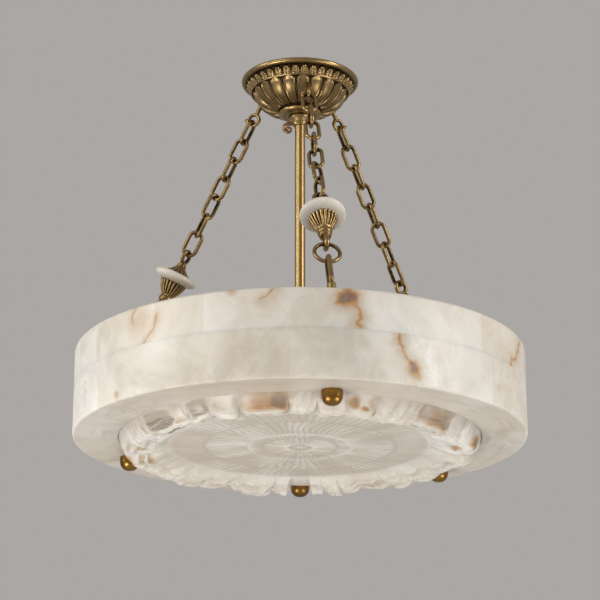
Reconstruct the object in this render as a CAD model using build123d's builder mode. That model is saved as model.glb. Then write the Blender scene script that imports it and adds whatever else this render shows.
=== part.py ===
"""Alabaster ceiling light: a stone drum hung from a brass canopy by a centre rod and three chains.

Millimetres, +Z up. The origin is the middle of the ceiling plane, where the canopy's rim and the
bracket's feet meet the ceiling. Azimuth 0 is the front (-Y), and azimuths grow towards +X.
Heights along a chain are measured up its line, from the point where it crosses its stud's axis.
"""

from build123d import *
import math
import os

# Stone drum
CEILING_DROP = 433.0
DRUM_RADIUS = 250.0
DRUM_HEIGHT = 96.0
DRUM_WALL = 24.0
DRUM_EDGE = 2.5
LEDGE_THICKNESS = 20.0
LEDGE_WIDTH = 50.0
LOWER_COURSE_HEIGHT = 53.0
UPPER_BLOCKS = 10
LOWER_BLOCKS = 13
UPPER_SEAM_AZIMUTH = -23.0
LOWER_SEAM_AZIMUTH = -30.0
BOND_GAP = 0.3

# Carved dish in the ledge's opening
DISH_CLEARANCE = 0.5
DISH_FLANGE_THICKNESS = 10.0
DISH_FLANGE_CLEARANCE = 2.0
DISH_RISE = 6.0
ROSETTE_RADIUS = 57.0
ROSETTE_EYE_RADIUS = 15.0
ROSETTE_STEP = 1.5

# Petal border bonded under the dish's rim
BORDER_BLOCKS = 13
FRILL_WIDTH = 54.0
FRILL_DROP = 22.0
FRILL_SLOPE = 14.0
FRILL_LIP = 4.0
PETALS = 26
PETAL_GAP = 13.0
PETAL_CUT = 11.0

# Studs and finials
STUD_INSET = 7.0
STUD_RADIUS = 4.0
STUD_CLEARANCE = 0.3
FINIAL_RADIUS = 11.3
FINIAL_BAND = 5.0
FINIAL_DOME = 11.0
FINIAL_TIP_RADIUS = 1.0
FINIAL_BORE_DEPTH = 11.0
FINIAL_POCKET_CLEARANCE = 1.5
RUNNING_CLEARANCE = 0.05
END_CLEARANCE = 0.5
NUT_HEIGHT = 6.0
NUT_FLATS = 14.0
REAR_STUD_AZIMUTH = 180.0

# Chains
SIDES = ("front", "right", "left")
FRONT_CHAIN_AZIMUTH = 9.0
RIGHT_TWIST_ANGLE = -25.0
RIGHT_EXTRA_LINKS = 1
CHAIN_FOOT_RISE = 12.0
CHAIN_SLACK = 0.2
LINK_PITCH_NOMINAL = 25.0
LINK_WIRE = 4.4
LINK_WIDTH = 19.0
WIRE_SIDES = 6
LOOP_END_CHORDS = 6
QUARTER_TURN_ANGLE = 90.0
EASED_TURN_ANGLE = 67.5
EASED_LINKS = 3
EYE_WIRE = 4.0
EYE_DIAMETER = 17.0
EYE_SHANK_RADIUS = 2.5
EYE_SHANK_LENGTH = 8.0
EYE_SHANK_INSIDE = 9.0
RING_WIRE = 4.2
RING_DIAMETER = 31.5
LOOP_WIRE = 5.6
LOOP_WIDTH = 17.0

# Lug on each eye stud
LUG_EYE_TOP = 48.8
LUG_EYE_LENGTH = 44.0
LUG_FLANGE_RADIUS = 10.0
LUG_FLANGE_THICKNESS = 3.0
LUG_NECK_RADIUS = 4.6
LUG_NECK_RISE = 18.0

# Bead on each chain
BEAD_SHANK_RADIUS = 3.0
BEAD_LOOP_LENGTH = 21.0
BEAD_FOOT_NECK_RADIUS = 6.2
BEAD_FOOT_NECK_LENGTH = 3.0
BEAD_FOOT_RADIUS = 8.0
BEAD_FOOT_LENGTH = 8.0
LOWER_BELL_RADIUS = 16.0
LOWER_BELL_LENGTH = 17.5
DISC_RADIUS = 24.8
DISC_THICKNESS = 12.0
DISC_RIM = 4.0
DISC_SLOPE = 5.0
UPPER_BELL_RADIUS = 14.0
UPPER_BELL_LENGTH = 8.5
BELL_NECK_RADIUS = 7.0
UPPER_BELL_SWELL = -1.2
LOWER_BELL_SWELL = 2.0
STEM_COLLAR_RADIUS = 6.0
STEM_COLLAR_LENGTH = 5.0
STEM_LOOP_LENGTH = 20.0
STEM_WIRE = 4.6

# Canopy, collar, neck and rod
CANOPY_RADIUS = 68.0
CANOPY_DEPTH = 40.0
CANOPY_SHELL = 2.5
RIM_HEIGHT = 7.0
RIM_WIDTH = 4.5
COVE_HEIGHT = 2.0
COVE_INSET = 6.0
BOWL_ARC_RADIUS = 31.0
BOWL_START_ANGLE = -23.0
BOWL_EYE_ANGLE = -34.65
BAND_STEP = 1.0
COLLAR_SEAT_RADIUS = 24.5
COLLAR_RADIUS = 25.2
COLLAR_THICKNESS = 6.0
COLLAR_EDGE = 2.0
NECK_RADIUS = 12.8
NECK_FOOT_RADIUS = 8.0
NECK_LENGTH = 12.0
NECK_BAND = 3.0
ROD_RADIUS = 6.0
ROD_ENTRY = 5.0
ROD_CLEARANCE = 0.1

# Ceiling bracket and nipple
BRACKET_END_CLEARANCE = 5.5
BRACKET_WIDTH = 20.0
BRACKET_THICKNESS = 2.5
BRACKET_DROP = 8.0
BRACKET_FOOT = 28.0
BRACKET_SLOPE = 8.0
BRACKET_HOLE_RADIUS = 2.6
NIPPLE_RADIUS = 5.0
NIPPLE_BORE_RADIUS = 3.5
NIPPLE_NUT_HEIGHT = 5.0
NIPPLE_NUT_FLATS = 17.0

# Scroll hook on the neck
SCROLL_WIRE = 4.2
SCROLL_TURN_RADII = (5.2, 2.8)
SCROLL_REACH = 13.5
SCROLL_ROOT = 3.0
SCROLL_BELOW_COLLAR = 8.7

# Cluster body, arms, lampholders and bulbs
HUB_FLATS = 40.0
HUB_RISE = 2.0
HUB_SKIRT = 16.0
HUB_NUT_RADIUS = 12.0
HUB_NUT_HEIGHT = 8.0
ROD_TAIL = 4.0
ARM_RIM_DROP = 2.0
ARM_THICKNESS = 8.0
ARM_WIDTH = 14.0
ARM_END_RADIUS = 10.0
LAMP_DROP = 20.0
HOLDER_NIPPLE_RADIUS = 5.0
HOLDER_NIPPLE_LENGTH = 6.0
HOLDER_RADIUS = 14.0
HOLDER_LENGTH = 38.0
HOLDER_BORE_RADIUS = 7.0
HOLDER_BORE_DEPTH = 26.0
BULB_NECK_RADIUS = 9.0
BULB_RADIUS = 17.5
BULB_SHOULDER = 2.0
BULB_BELLY = 32.0
BULB_NOSE = 40.0
BULB_TIP_RADIUS = 1.5
BULB_BELLY_SWELL = 3.0
BULB_NOSE_SWELL = 5.0

# Levels and positions that follow from the sizes above
DRUM_BOTTOM = -CEILING_DROP
DRUM_TOP = DRUM_BOTTOM + DRUM_HEIGHT
LEDGE_TOP = DRUM_BOTTOM + LEDGE_THICKNESS
SEAM_LEVEL = DRUM_BOTTOM + LOWER_COURSE_HEIGHT
WALL_INNER_RADIUS = DRUM_RADIUS - DRUM_WALL
OPENING_RADIUS = DRUM_RADIUS - LEDGE_WIDTH
STUD_CIRCLE_RADIUS = OPENING_RADIUS + STUD_INSET
FLANGE_TOP = LEDGE_TOP + DISH_FLANGE_THICKNESS
DISH_RADIUS = OPENING_RADIUS - DISH_CLEARANCE
DISH_FACE = DRUM_BOTTOM - DISH_RISE
ARM_TOP = DRUM_TOP - ARM_RIM_DROP
ARM_BOTTOM = ARM_TOP - ARM_THICKNESS
LAMP_LEVEL = ARM_TOP - LAMP_DROP
HUB_TOP = ARM_TOP + HUB_RISE
HUB_BOTTOM = LAMP_LEVEL - HUB_SKIRT
HUB_APOTHEM = HUB_FLATS / 2
COLLAR_TOP = -CANOPY_DEPTH
COLLAR_BOTTOM = COLLAR_TOP - COLLAR_THICKNESS
NECK_BOTTOM = COLLAR_BOTTOM - NECK_LENGTH
ROD_TOP = NECK_BOTTOM + ROD_ENTRY
ROD_BOTTOM = HUB_BOTTOM - HUB_NUT_HEIGHT - ROD_TAIL
STUD_BOTTOM = DRUM_BOTTOM - FINIAL_BORE_DEPTH + END_CLEARANCE
COVE_RADIUS = CANOPY_RADIUS - COVE_INSET
BRACKET_LENGTH = 2 * (CANOPY_RADIUS - RIM_WIDTH - BRACKET_END_CLEARANCE)
BRACKET_HOLE_SPACING = BRACKET_LENGTH - BRACKET_FOOT
BOWL_CENTRE = -(CANOPY_DEPTH - BOWL_ARC_RADIUS)
CHAIN_FOOT = DRUM_TOP + CHAIN_FOOT_RISE
CHAIN_TOP_RADIUS = COLLAR_SEAT_RADIUS + BOWL_ARC_RADIUS * math.cos(math.radians(BOWL_EYE_ANGLE))
CHAIN_TOP = BOWL_CENTRE + BOWL_ARC_RADIUS * math.sin(math.radians(BOWL_EYE_ANGLE))
CHAIN_LENGTH = math.hypot(STUD_CIRCLE_RADIUS - CHAIN_TOP_RADIUS, CHAIN_TOP - CHAIN_FOOT)
CHAIN_AZIMUTHS = {side: FRONT_CHAIN_AZIMUTH + 360 * index / len(SIDES) for index, side in enumerate(SIDES)}
CHAIN_TWISTS = {side: RIGHT_TWIST_ANGLE if side == "right" else 0.0 for side in SIDES}
STUD_AZIMUTHS = (*CHAIN_AZIMUTHS.values(), REAR_STUD_AZIMUTH)

# Heights up the chain's line, each from the piece below it
RING_LOW = LUG_EYE_TOP - LOOP_WIRE - CHAIN_SLACK - RING_WIRE
RING_HIGH = RING_LOW + RING_DIAMETER
BEAD_LOOP_LOW = RING_HIGH - RING_WIRE - CHAIN_SLACK - LOOP_WIRE
BEAD_FOOT_LOW = BEAD_LOOP_LOW + BEAD_LOOP_LENGTH - LOOP_WIRE / 2
LOWER_BELL_LOW = BEAD_FOOT_LOW + BEAD_FOOT_NECK_LENGTH + BEAD_FOOT_LENGTH
DISC_LOW = LOWER_BELL_LOW + LOWER_BELL_LENGTH
UPPER_BELL_LOW = DISC_LOW + DISC_THICKNESS
STEM_COLLAR_LOW = UPPER_BELL_LOW + UPPER_BELL_LENGTH
STEM_LOOP_LOW = STEM_COLLAR_LOW + STEM_COLLAR_LENGTH - STEM_WIRE / 2
STEM_LOOP_HIGH = STEM_LOOP_LOW + STEM_LOOP_LENGTH
EYE_HIGH = CHAIN_LENGTH - EYE_SHANK_LENGTH
EYE_LOW = EYE_HIGH - EYE_DIAMETER
FIRST_LINK_HIGH = EYE_LOW + EYE_WIRE + CHAIN_SLACK + LINK_WIRE
LAST_LINK_LOW = STEM_LOOP_HIGH - STEM_WIRE - CHAIN_SLACK - LINK_WIRE
LINK_RUN = FIRST_LINK_HIGH - LAST_LINK_LOW - 2 * LINK_WIRE - CHAIN_SLACK
LINK_COUNT = round(LINK_RUN / LINK_PITCH_NOMINAL)
LINK_PITCH = LINK_RUN / LINK_COUNT
LINK_LENGTH = LINK_PITCH + 2 * LINK_WIRE + CHAIN_SLACK
EXTRA_LINKS = {side: RIGHT_EXTRA_LINKS if side == "right" else 0 for side in SIDES}


def outward(azimuth):
    """Unit vector from the lamp's axis towards an azimuth."""
    angle = math.radians(azimuth)
    return Vector(math.sin(angle), -math.cos(angle), 0)


def sideways(azimuth):
    """Unit vector square to an azimuth's meridian plane."""
    angle = math.radians(azimuth)
    return Vector(-math.cos(angle), -math.sin(angle), 0)


def meridian(azimuth):
    """Plane through the lamp's axis: X runs outward at the azimuth and Y runs up."""
    return Plane(origin=(0, 0, 0), x_dir=outward(azimuth), z_dir=sideways(azimuth))


def level(azimuth, height):
    """Horizontal plane at a height: X runs outward at the azimuth."""
    return Plane(origin=(0, 0, height), x_dir=outward(azimuth), z_dir=(0, 0, 1))


def chain_plane(azimuth, turn=0.0, drop=0.0):
    """Plane along a chain: Y runs up its line from the stud, less a drop; X is turned about that line."""
    foot = outward(azimuth) * STUD_CIRCLE_RADIUS + Vector(0, 0, CHAIN_FOOT)
    head = outward(azimuth) * CHAIN_TOP_RADIUS + Vector(0, 0, CHAIN_TOP)
    line = Axis((0, 0, 0), head - foot)
    side = sideways(azimuth).rotate(line, turn)
    return Plane(origin=foot - line.direction * drop, x_dir=(head - foot).cross(side), z_dir=side)


def stud_axis(azimuth):
    """Vertical axis of the stud at an azimuth."""
    return Axis(outward(azimuth) * STUD_CIRCLE_RADIUS, (0, 0, 1))


def chain_axis(azimuth):
    """Line of a chain, pointing up from its stud."""
    plane = chain_plane(azimuth)
    return Axis(plane.origin, plane.y_dir)


def save(builder, name):
    """Label a finished piece and write it to its own file."""
    builder.part.label = name
    export_step(builder.part, f"parts/{name}.step")


def wire_loop(plane, low, high, width, wire):
    """Add a wire loop with straight sides, between two heights on the plane's Y axis."""
    reach = (width - wire) / 2
    low_centre = low + wire / 2 + reach
    high_centre = high - wire / 2 - reach
    middle = (low + high) / 2
    bends = [math.pi * step / LOOP_END_CHORDS for step in range(LOOP_END_CHORDS + 1)]
    over = [(reach * math.cos(bend), high_centre + reach * math.sin(bend)) for bend in bends]
    under = [(-reach * math.cos(bend), low_centre - reach * math.sin(bend)) for bend in bends]
    with BuildLine(plane, mode=Mode.PRIVATE) as path:
        Polyline((reach, middle), *over, *under, (reach, middle))
    start = Plane(
        origin=plane.from_local_coords((reach, middle, 0)), x_dir=plane.x_dir, z_dir=plane.y_dir
    )
    with BuildSketch(start, mode=Mode.PRIVATE) as section:
        RegularPolygon(wire / 2, WIRE_SIDES)
    sweep(section.sketch, path=path.wire(), transition=Transition.RIGHT)


def wire_ring(plane, low, diameter, wire):
    """Add a wire ring in a plane, with its lowest point at a height on the plane's Y axis."""
    centre = plane.from_local_coords((0, low + diameter / 2, 0))
    start = Plane(
        origin=plane.from_local_coords(((diameter - wire) / 2, low + diameter / 2, 0)),
        x_dir=plane.x_dir,
        z_dir=plane.y_dir,
    )
    with BuildSketch(start, mode=Mode.PRIVATE) as section:
        RegularPolygon(wire / 2, WIRE_SIDES)
    revolve(section.sketch, axis=Axis(centre, plane.z_dir))


def ceiling_bracket():
    """Pressed strap with its feet on the ceiling and its middle dropped for the nipple's nuts."""
    half = BRACKET_LENGTH / 2
    foot_inner = half - BRACKET_FOOT
    seat = foot_inner - BRACKET_SLOPE
    drop = -BRACKET_DROP
    under_shift = BRACKET_THICKNESS * math.tan(math.atan2(BRACKET_DROP, BRACKET_SLOPE) / 2)
    with BuildPart() as strap:
        with BuildSketch(Plane.XZ.offset(-BRACKET_WIDTH / 2)):
            with BuildLine():
                Polyline(
                    (-half, 0),
                    (-foot_inner, 0),
                    (-seat, drop),
                    (seat, drop),
                    (foot_inner, 0),
                    (half, 0),
                    (half, -BRACKET_THICKNESS),
                    (foot_inner + under_shift, -BRACKET_THICKNESS),
                    (seat + under_shift, drop - BRACKET_THICKNESS),
                    (-seat - under_shift, drop - BRACKET_THICKNESS),
                    (-foot_inner - under_shift, -BRACKET_THICKNESS),
                    (-half, -BRACKET_THICKNESS),
                    close=True,
                )
            make_face()
        extrude(amount=BRACKET_WIDTH)
        with Locations((0, 0, drop)):
            Hole(NIPPLE_RADIUS + ROD_CLEARANCE)
        with GridLocations(BRACKET_HOLE_SPACING, 0, 2, 1):
            Hole(BRACKET_HOLE_RADIUS)
    return strap


def nipple():
    """Threaded tube from the bracket through the canopy and collar into the neck."""
    bottom = ROD_TOP + END_CLEARANCE
    with BuildPart() as tube:
        with BuildSketch(Plane.XY.offset(bottom)):
            Circle(NIPPLE_RADIUS)
            Circle(NIPPLE_BORE_RADIUS, mode=Mode.SUBTRACT)
        extrude(amount=-NIPPLE_NUT_HEIGHT / 2 - bottom)
    return tube


def bracket_nuts():
    """Two hexagon nuts that clamp the nipple to the bracket."""
    with BuildPart() as nuts:
        for bottom in (-BRACKET_DROP, -BRACKET_DROP - BRACKET_THICKNESS - NIPPLE_NUT_HEIGHT):
            with BuildSketch(Plane.XY.offset(bottom)):
                RegularPolygon(NIPPLE_NUT_FLATS / 2, 6, major_radius=False)
                Circle(NIPPLE_RADIUS + ROD_CLEARANCE, mode=Mode.SUBTRACT)
            extrude(amount=NIPPLE_NUT_HEIGHT)
    return nuts


def canopy():
    """Cast shell: rolled rim, cove, leaf band and a round bowl, open to the ceiling."""
    rim_inner = CANOPY_RADIUS - RIM_WIDTH
    rim_mid = CANOPY_RADIUS - RIM_HEIGHT / 4
    cove_level = -RIM_HEIGHT - COVE_HEIGHT
    bowl_centre = (COLLAR_SEAT_RADIUS, BOWL_CENTRE)
    inner_arc_radius = BOWL_ARC_RADIUS - CANOPY_SHELL
    arc_span = -QUARTER_TURN_ANGLE - BOWL_START_ANGLE
    nipple_hole = NIPPLE_RADIUS + ROD_CLEARANCE
    with BuildPart() as shell:
        with BuildSketch(Plane.XZ):
            with BuildLine():
                arc = CenterArc(bowl_centre, BOWL_ARC_RADIUS, BOWL_START_ANGLE, arc_span)
                inner = CenterArc(bowl_centre, inner_arc_radius, BOWL_START_ANGLE, arc_span)
                Polyline(
                    arc @ 1,
                    (nipple_hole, -CANOPY_DEPTH),
                    (nipple_hole, CANOPY_SHELL - CANOPY_DEPTH),
                    inner @ 1,
                )
                Polyline(
                    inner @ 0,
                    (COVE_RADIUS - CANOPY_SHELL, cove_level + CANOPY_SHELL),
                    (rim_inner, -RIM_HEIGHT / 2),
                    (rim_inner, 0),
                    (rim_mid, 0),
                )
                ThreePointArc((rim_mid, 0), (CANOPY_RADIUS, -RIM_HEIGHT / 2), (rim_mid, -RIM_HEIGHT))
                band_foot = arc @ 0 + Vector(BAND_STEP, BAND_STEP)
                Polyline(
                    (rim_mid, -RIM_HEIGHT),
                    (COVE_RADIUS, -RIM_HEIGHT),
                    (COVE_RADIUS, cove_level),
                    band_foot,
                    arc @ 0,
                )
            make_face()
        revolve(axis=Axis.Z)
        for azimuth in CHAIN_AZIMUTHS.values():
            line = chain_plane(azimuth)
            through = Plane(
                origin=line.from_local_coords((0, EYE_HIGH, 0)), x_dir=line.x_dir, z_dir=line.y_dir
            )
            with BuildSketch(through):
                Circle(EYE_SHANK_RADIUS + ROD_CLEARANCE)
            extrude(amount=EYE_SHANK_LENGTH + EYE_SHANK_INSIDE, mode=Mode.SUBTRACT)
    return shell


def canopy_collar():
    """Ring nut that holds the canopy up against the ceiling."""
    with BuildPart() as ring:
        with BuildSketch(Plane.XY.offset(COLLAR_BOTTOM)):
            Circle(COLLAR_RADIUS)
            Circle(NIPPLE_RADIUS + RUNNING_CLEARANCE, mode=Mode.SUBTRACT)
        extrude(amount=COLLAR_THICKNESS)
        rims = ring.edges().filter_by(GeomType.CIRCLE).sort_by(SortBy.RADIUS)[-2:]
        chamfer(rims, COLLAR_EDGE)
    return ring


def rod_neck():
    """Tapered coupling between the nipple and the rod, drilled for the scroll hook's root."""
    scroll_level = COLLAR_BOTTOM - SCROLL_BELOW_COLLAR
    with BuildPart() as neck:
        with BuildSketch(Plane.XZ):
            with BuildLine():
                Polyline(
                    (0, COLLAR_BOTTOM),
                    (NECK_RADIUS, COLLAR_BOTTOM),
                    (NECK_RADIUS, COLLAR_BOTTOM - NECK_BAND),
                    (NECK_FOOT_RADIUS, NECK_BOTTOM),
                    (0, NECK_BOTTOM),
                    close=True,
                )
            make_face()
        revolve(axis=Axis.Z)
        with BuildSketch(Plane.XY.offset(ROD_TOP)):
            Circle(NIPPLE_RADIUS + ROD_CLEARANCE)
        extrude(amount=COLLAR_BOTTOM - ROD_TOP, mode=Mode.SUBTRACT)
        with BuildSketch(Plane.XY.offset(NECK_BOTTOM)):
            Circle(ROD_RADIUS + ROD_CLEARANCE)
        extrude(amount=ROD_ENTRY, mode=Mode.SUBTRACT)
        with BuildSketch(Plane.YZ.offset(-NECK_RADIUS)):
            with Locations((0, scroll_level)):
                Circle(SCROLL_WIRE / 2 + ROD_CLEARANCE)
        extrude(amount=NECK_RADIUS - NIPPLE_RADIUS - ROD_CLEARANCE, mode=Mode.SUBTRACT)
    return neck


def scroll_hook():
    """Wire scroll: a straight root in the neck and two half turns of shrinking radius."""
    root_level = COLLAR_BOTTOM - SCROLL_BELOW_COLLAR
    root_end = -NIPPLE_RADIUS - SCROLL_ROOT / 2
    first, second = SCROLL_TURN_RADII
    with BuildPart() as scroll:
        with BuildLine(Plane.XZ, mode=Mode.PRIVATE) as path:
            Line((root_end, root_level), (-SCROLL_REACH, root_level))
            CenterArc((-SCROLL_REACH, root_level - first), first, 90, 180)
            low = root_level - 2 * first
            CenterArc((-SCROLL_REACH, low + second), second, -90, 180)
        start = Plane(origin=(root_end, 0, root_level), z_dir=(-1, 0, 0))
        with BuildSketch(start, mode=Mode.PRIVATE) as section:
            RegularPolygon(SCROLL_WIRE / 2, WIRE_SIDES)
        sweep(section.sketch, path=path.wire())
    return scroll


def centre_rod():
    """Straight rod from the neck through the cluster body."""
    with BuildPart() as rod:
        with BuildSketch(Plane.XY.offset(ROD_BOTTOM)):
            Circle(ROD_RADIUS)
            Circle(NIPPLE_BORE_RADIUS, mode=Mode.SUBTRACT)
        extrude(amount=ROD_TOP - ROD_BOTTOM)
    return rod


def canopy_eye(azimuth):
    """Eye under the canopy, with its shank through the bowl."""
    line = chain_plane(azimuth)
    shank_foot = EYE_HIGH - EYE_WIRE / 2
    with BuildPart() as eye:
        wire_ring(line, EYE_LOW, EYE_DIAMETER, EYE_WIRE)
        base = Plane(origin=line.from_local_coords((0, shank_foot, 0)), x_dir=line.x_dir, z_dir=line.y_dir)
        with BuildSketch(base):
            Circle(EYE_SHANK_RADIUS)
        extrude(amount=EYE_WIRE / 2 + EYE_SHANK_LENGTH + EYE_SHANK_INSIDE)
    return eye


def chain_links(azimuth, twist, extra_links):
    """Wire links from the canopy's eye to the bead, the last few eased round to meet its loop."""
    count = LINK_COUNT + extra_links
    with BuildPart() as links:
        turn = QUARTER_TURN_ANGLE + twist
        for index in range(count):
            high = FIRST_LINK_HIGH - index * LINK_PITCH
            wire_loop(chain_plane(azimuth, turn), high - LINK_LENGTH, high, LINK_WIDTH, LINK_WIRE)
            eased = index >= count - 1 - EASED_LINKS
            turn += EASED_TURN_ANGLE if eased else QUARTER_TURN_ANGLE
    return links


def bead_stem(azimuth, extra_links):
    """Upper loop of the bead, its collar and the shank that the bells and disc are threaded on."""
    drop = extra_links * LINK_PITCH
    line = chain_plane(azimuth, drop=drop)
    shank_end = LOWER_BELL_LOW - BEAD_FOOT_LENGTH + END_CLEARANCE
    even_chain = (LINK_COUNT + extra_links) % 2 == 0
    with BuildPart() as stem:
        across = chain_plane(azimuth, QUARTER_TURN_ANGLE * (2 if even_chain else 1), drop)
        wire_loop(across, STEM_LOOP_LOW, STEM_LOOP_HIGH, LINK_WIDTH, STEM_WIRE)
        with BuildSketch(line):
            with BuildLine():
                Polyline(
                    (STEM_COLLAR_RADIUS, STEM_COLLAR_LOW),
                    (BEAD_SHANK_RADIUS, STEM_COLLAR_LOW),
                    (BEAD_SHANK_RADIUS, shank_end),
                    (0, shank_end),
                    (0, STEM_COLLAR_LOW + STEM_COLLAR_LENGTH),
                    (BEAD_SHANK_RADIUS, STEM_COLLAR_LOW + STEM_COLLAR_LENGTH),
                    (STEM_COLLAR_RADIUS, STEM_COLLAR_LOW + STEM_COLLAR_LENGTH / 2),
                    close=True,
                )
            make_face()
        revolve(axis=chain_axis(azimuth))
    return stem


def turned_bell(azimuth, drop, low, high, low_radius, high_radius, swell):
    """Turned bell between two heights on a chain, swelling along its slope, with a running bore."""
    bore = BEAD_SHANK_RADIUS + RUNNING_CLEARANCE
    with BuildPart() as bell:
        with BuildSketch(chain_plane(azimuth, drop=drop)):
            with BuildLine():
                slope = SagittaArc((low_radius, low), (high_radius, high), -swell)
                Polyline(slope @ 1, (bore, high), (bore, low), slope @ 0)
            make_face()
        revolve(axis=chain_axis(azimuth))
    return bell


def upper_bell(azimuth, drop):
    """Bell on the disc, under the stem's collar."""
    return turned_bell(
        azimuth, drop, UPPER_BELL_LOW, STEM_COLLAR_LOW, UPPER_BELL_RADIUS, BELL_NECK_RADIUS, UPPER_BELL_SWELL
    )


def lower_bell(azimuth, drop):
    """Bell under the disc, on the bead's foot."""
    return turned_bell(
        azimuth, drop, LOWER_BELL_LOW, DISC_LOW, BELL_NECK_RADIUS, LOWER_BELL_RADIUS, LOWER_BELL_SWELL
    )


def bead_disc(azimuth, drop):
    """Stone disc between the bells, thinned towards its rim on both faces."""
    bore = BEAD_SHANK_RADIUS + RUNNING_CLEARANCE
    middle = DISC_LOW + DISC_THICKNESS / 2
    rim_low = middle - DISC_RIM / 2
    rim_high = middle + DISC_RIM / 2
    with BuildPart() as disc:
        with BuildSketch(chain_plane(azimuth, drop=drop)):
            with BuildLine():
                Polyline(
                    (bore, DISC_LOW),
                    (DISC_RADIUS - DISC_SLOPE, DISC_LOW),
                    (DISC_RADIUS, rim_low),
                    (DISC_RADIUS, rim_high),
                    (DISC_RADIUS - DISC_SLOPE, UPPER_BELL_LOW),
                    (bore, UPPER_BELL_LOW),
                    close=True,
                )
            make_face()
        revolve(axis=chain_axis(azimuth))
    return disc


def bead_foot(azimuth, drop):
    """Collar screwed on the bead's shank, with the lower loop that hangs in the ring."""
    line = chain_plane(azimuth, drop=drop)
    bead_low = BEAD_FOOT_LOW + BEAD_FOOT_NECK_LENGTH
    bore = BEAD_SHANK_RADIUS + RUNNING_CLEARANCE
    with BuildPart() as foot:
        wire_loop(line, BEAD_LOOP_LOW, BEAD_LOOP_LOW + BEAD_LOOP_LENGTH, LOOP_WIDTH, LOOP_WIRE)
        with BuildSketch(line):
            with BuildLine():
                Polyline(
                    (bore, LOWER_BELL_LOW),
                    (bore, bead_low),
                    (0, bead_low),
                    (0, BEAD_FOOT_LOW),
                    (BEAD_FOOT_NECK_RADIUS, BEAD_FOOT_LOW),
                    (BEAD_FOOT_NECK_RADIUS, bead_low),
                )
                ThreePointArc(
                    (BEAD_FOOT_NECK_RADIUS, bead_low),
                    (BEAD_FOOT_RADIUS, bead_low + BEAD_FOOT_LENGTH / 2),
                    (BELL_NECK_RADIUS, LOWER_BELL_LOW),
                )
                Line((BELL_NECK_RADIUS, LOWER_BELL_LOW), (bore, LOWER_BELL_LOW))
            make_face()
        revolve(axis=chain_axis(azimuth))
    return foot


def chain_ring(azimuth, drop):
    """Large ring between the bead and the lug."""
    with BuildPart() as ring:
        wire_ring(chain_plane(azimuth, QUARTER_TURN_ANGLE, drop), RING_LOW, RING_DIAMETER, RING_WIRE)
    return ring


def eye_stud(azimuth, drop):
    """Lug with an eye in line with the chain, shorter by the drop, on a stud down through the ledge."""
    line = chain_plane(azimuth)
    flange_top = ARM_TOP + LUG_FLANGE_THICKNESS
    neck_top = flange_top + LUG_NECK_RISE
    axis_radius = STUD_CIRCLE_RADIUS
    with BuildPart() as stud:
        wire_loop(line, LUG_EYE_TOP - LUG_EYE_LENGTH, LUG_EYE_TOP - drop, LOOP_WIDTH, LOOP_WIRE)
        with BuildSketch(meridian(azimuth)):
            with BuildLine():
                Polyline(
                    (axis_radius, neck_top),
                    (axis_radius, STUD_BOTTOM),
                    (axis_radius + STUD_RADIUS, STUD_BOTTOM),
                    (axis_radius + STUD_RADIUS, ARM_TOP),
                    (axis_radius + LUG_FLANGE_RADIUS, ARM_TOP),
                    (axis_radius + LUG_FLANGE_RADIUS, flange_top),
                )
                flare = SagittaArc(
                    (axis_radius + LUG_FLANGE_RADIUS, flange_top),
                    (axis_radius + LUG_NECK_RADIUS, neck_top),
                    -LUG_FLANGE_THICKNESS / 2,
                )
                Line(flare @ 1, (axis_radius, neck_top))
            make_face()
        revolve(axis=stud_axis(azimuth))
    return stud


def rear_stud():
    """Plain stud at the back with a hexagon head on the dish's flange."""
    with BuildPart() as stud:
        head = level(REAR_STUD_AZIMUTH, FLANGE_TOP)
        with BuildSketch(head):
            with Locations((STUD_CIRCLE_RADIUS, 0)):
                RegularPolygon(NUT_FLATS / 2, 6, major_radius=False)
        extrude(amount=NUT_HEIGHT)
        with BuildSketch(head):
            with Locations((STUD_CIRCLE_RADIUS, 0)):
                Circle(STUD_RADIUS)
        extrude(amount=STUD_BOTTOM - FLANGE_TOP)
    return stud


def arm_nuts():
    """Hexagon nuts under the arms, on the eye studs."""
    with BuildPart() as nuts:
        for azimuth in CHAIN_AZIMUTHS.values():
            with BuildSketch(level(azimuth, ARM_BOTTOM)):
                with Locations((STUD_CIRCLE_RADIUS, 0)):
                    RegularPolygon(NUT_FLATS / 2, 6, major_radius=False)
                    Circle(STUD_RADIUS + ROD_CLEARANCE, mode=Mode.SUBTRACT)
            extrude(amount=-NUT_HEIGHT)
    return nuts


def finial(azimuth):
    """Domed nut on a stud's foot, under the ledge."""
    bore = STUD_RADIUS + RUNNING_CLEARANCE
    axis_radius = STUD_CIRCLE_RADIUS
    dome_level = DRUM_BOTTOM - FINIAL_BAND
    bore_end = DRUM_BOTTOM - FINIAL_BORE_DEPTH
    tip = dome_level - FINIAL_DOME
    with BuildPart() as nut:
        with BuildSketch(meridian(azimuth)):
            with BuildLine():
                Polyline(
                    (axis_radius, tip),
                    (axis_radius, bore_end),
                    (axis_radius + bore, bore_end),
                    (axis_radius + bore, DRUM_BOTTOM),
                    (axis_radius + FINIAL_RADIUS, DRUM_BOTTOM),
                    (axis_radius + FINIAL_RADIUS, dome_level),
                )
                RadiusArc(
                    (axis_radius + FINIAL_RADIUS, dome_level),
                    (axis_radius + FINIAL_TIP_RADIUS, tip),
                    FINIAL_RADIUS,
                )
                Line((axis_radius + FINIAL_TIP_RADIUS, tip), (axis_radius, tip))
            make_face()
        revolve(axis=stud_axis(azimuth))
    return nut


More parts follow.
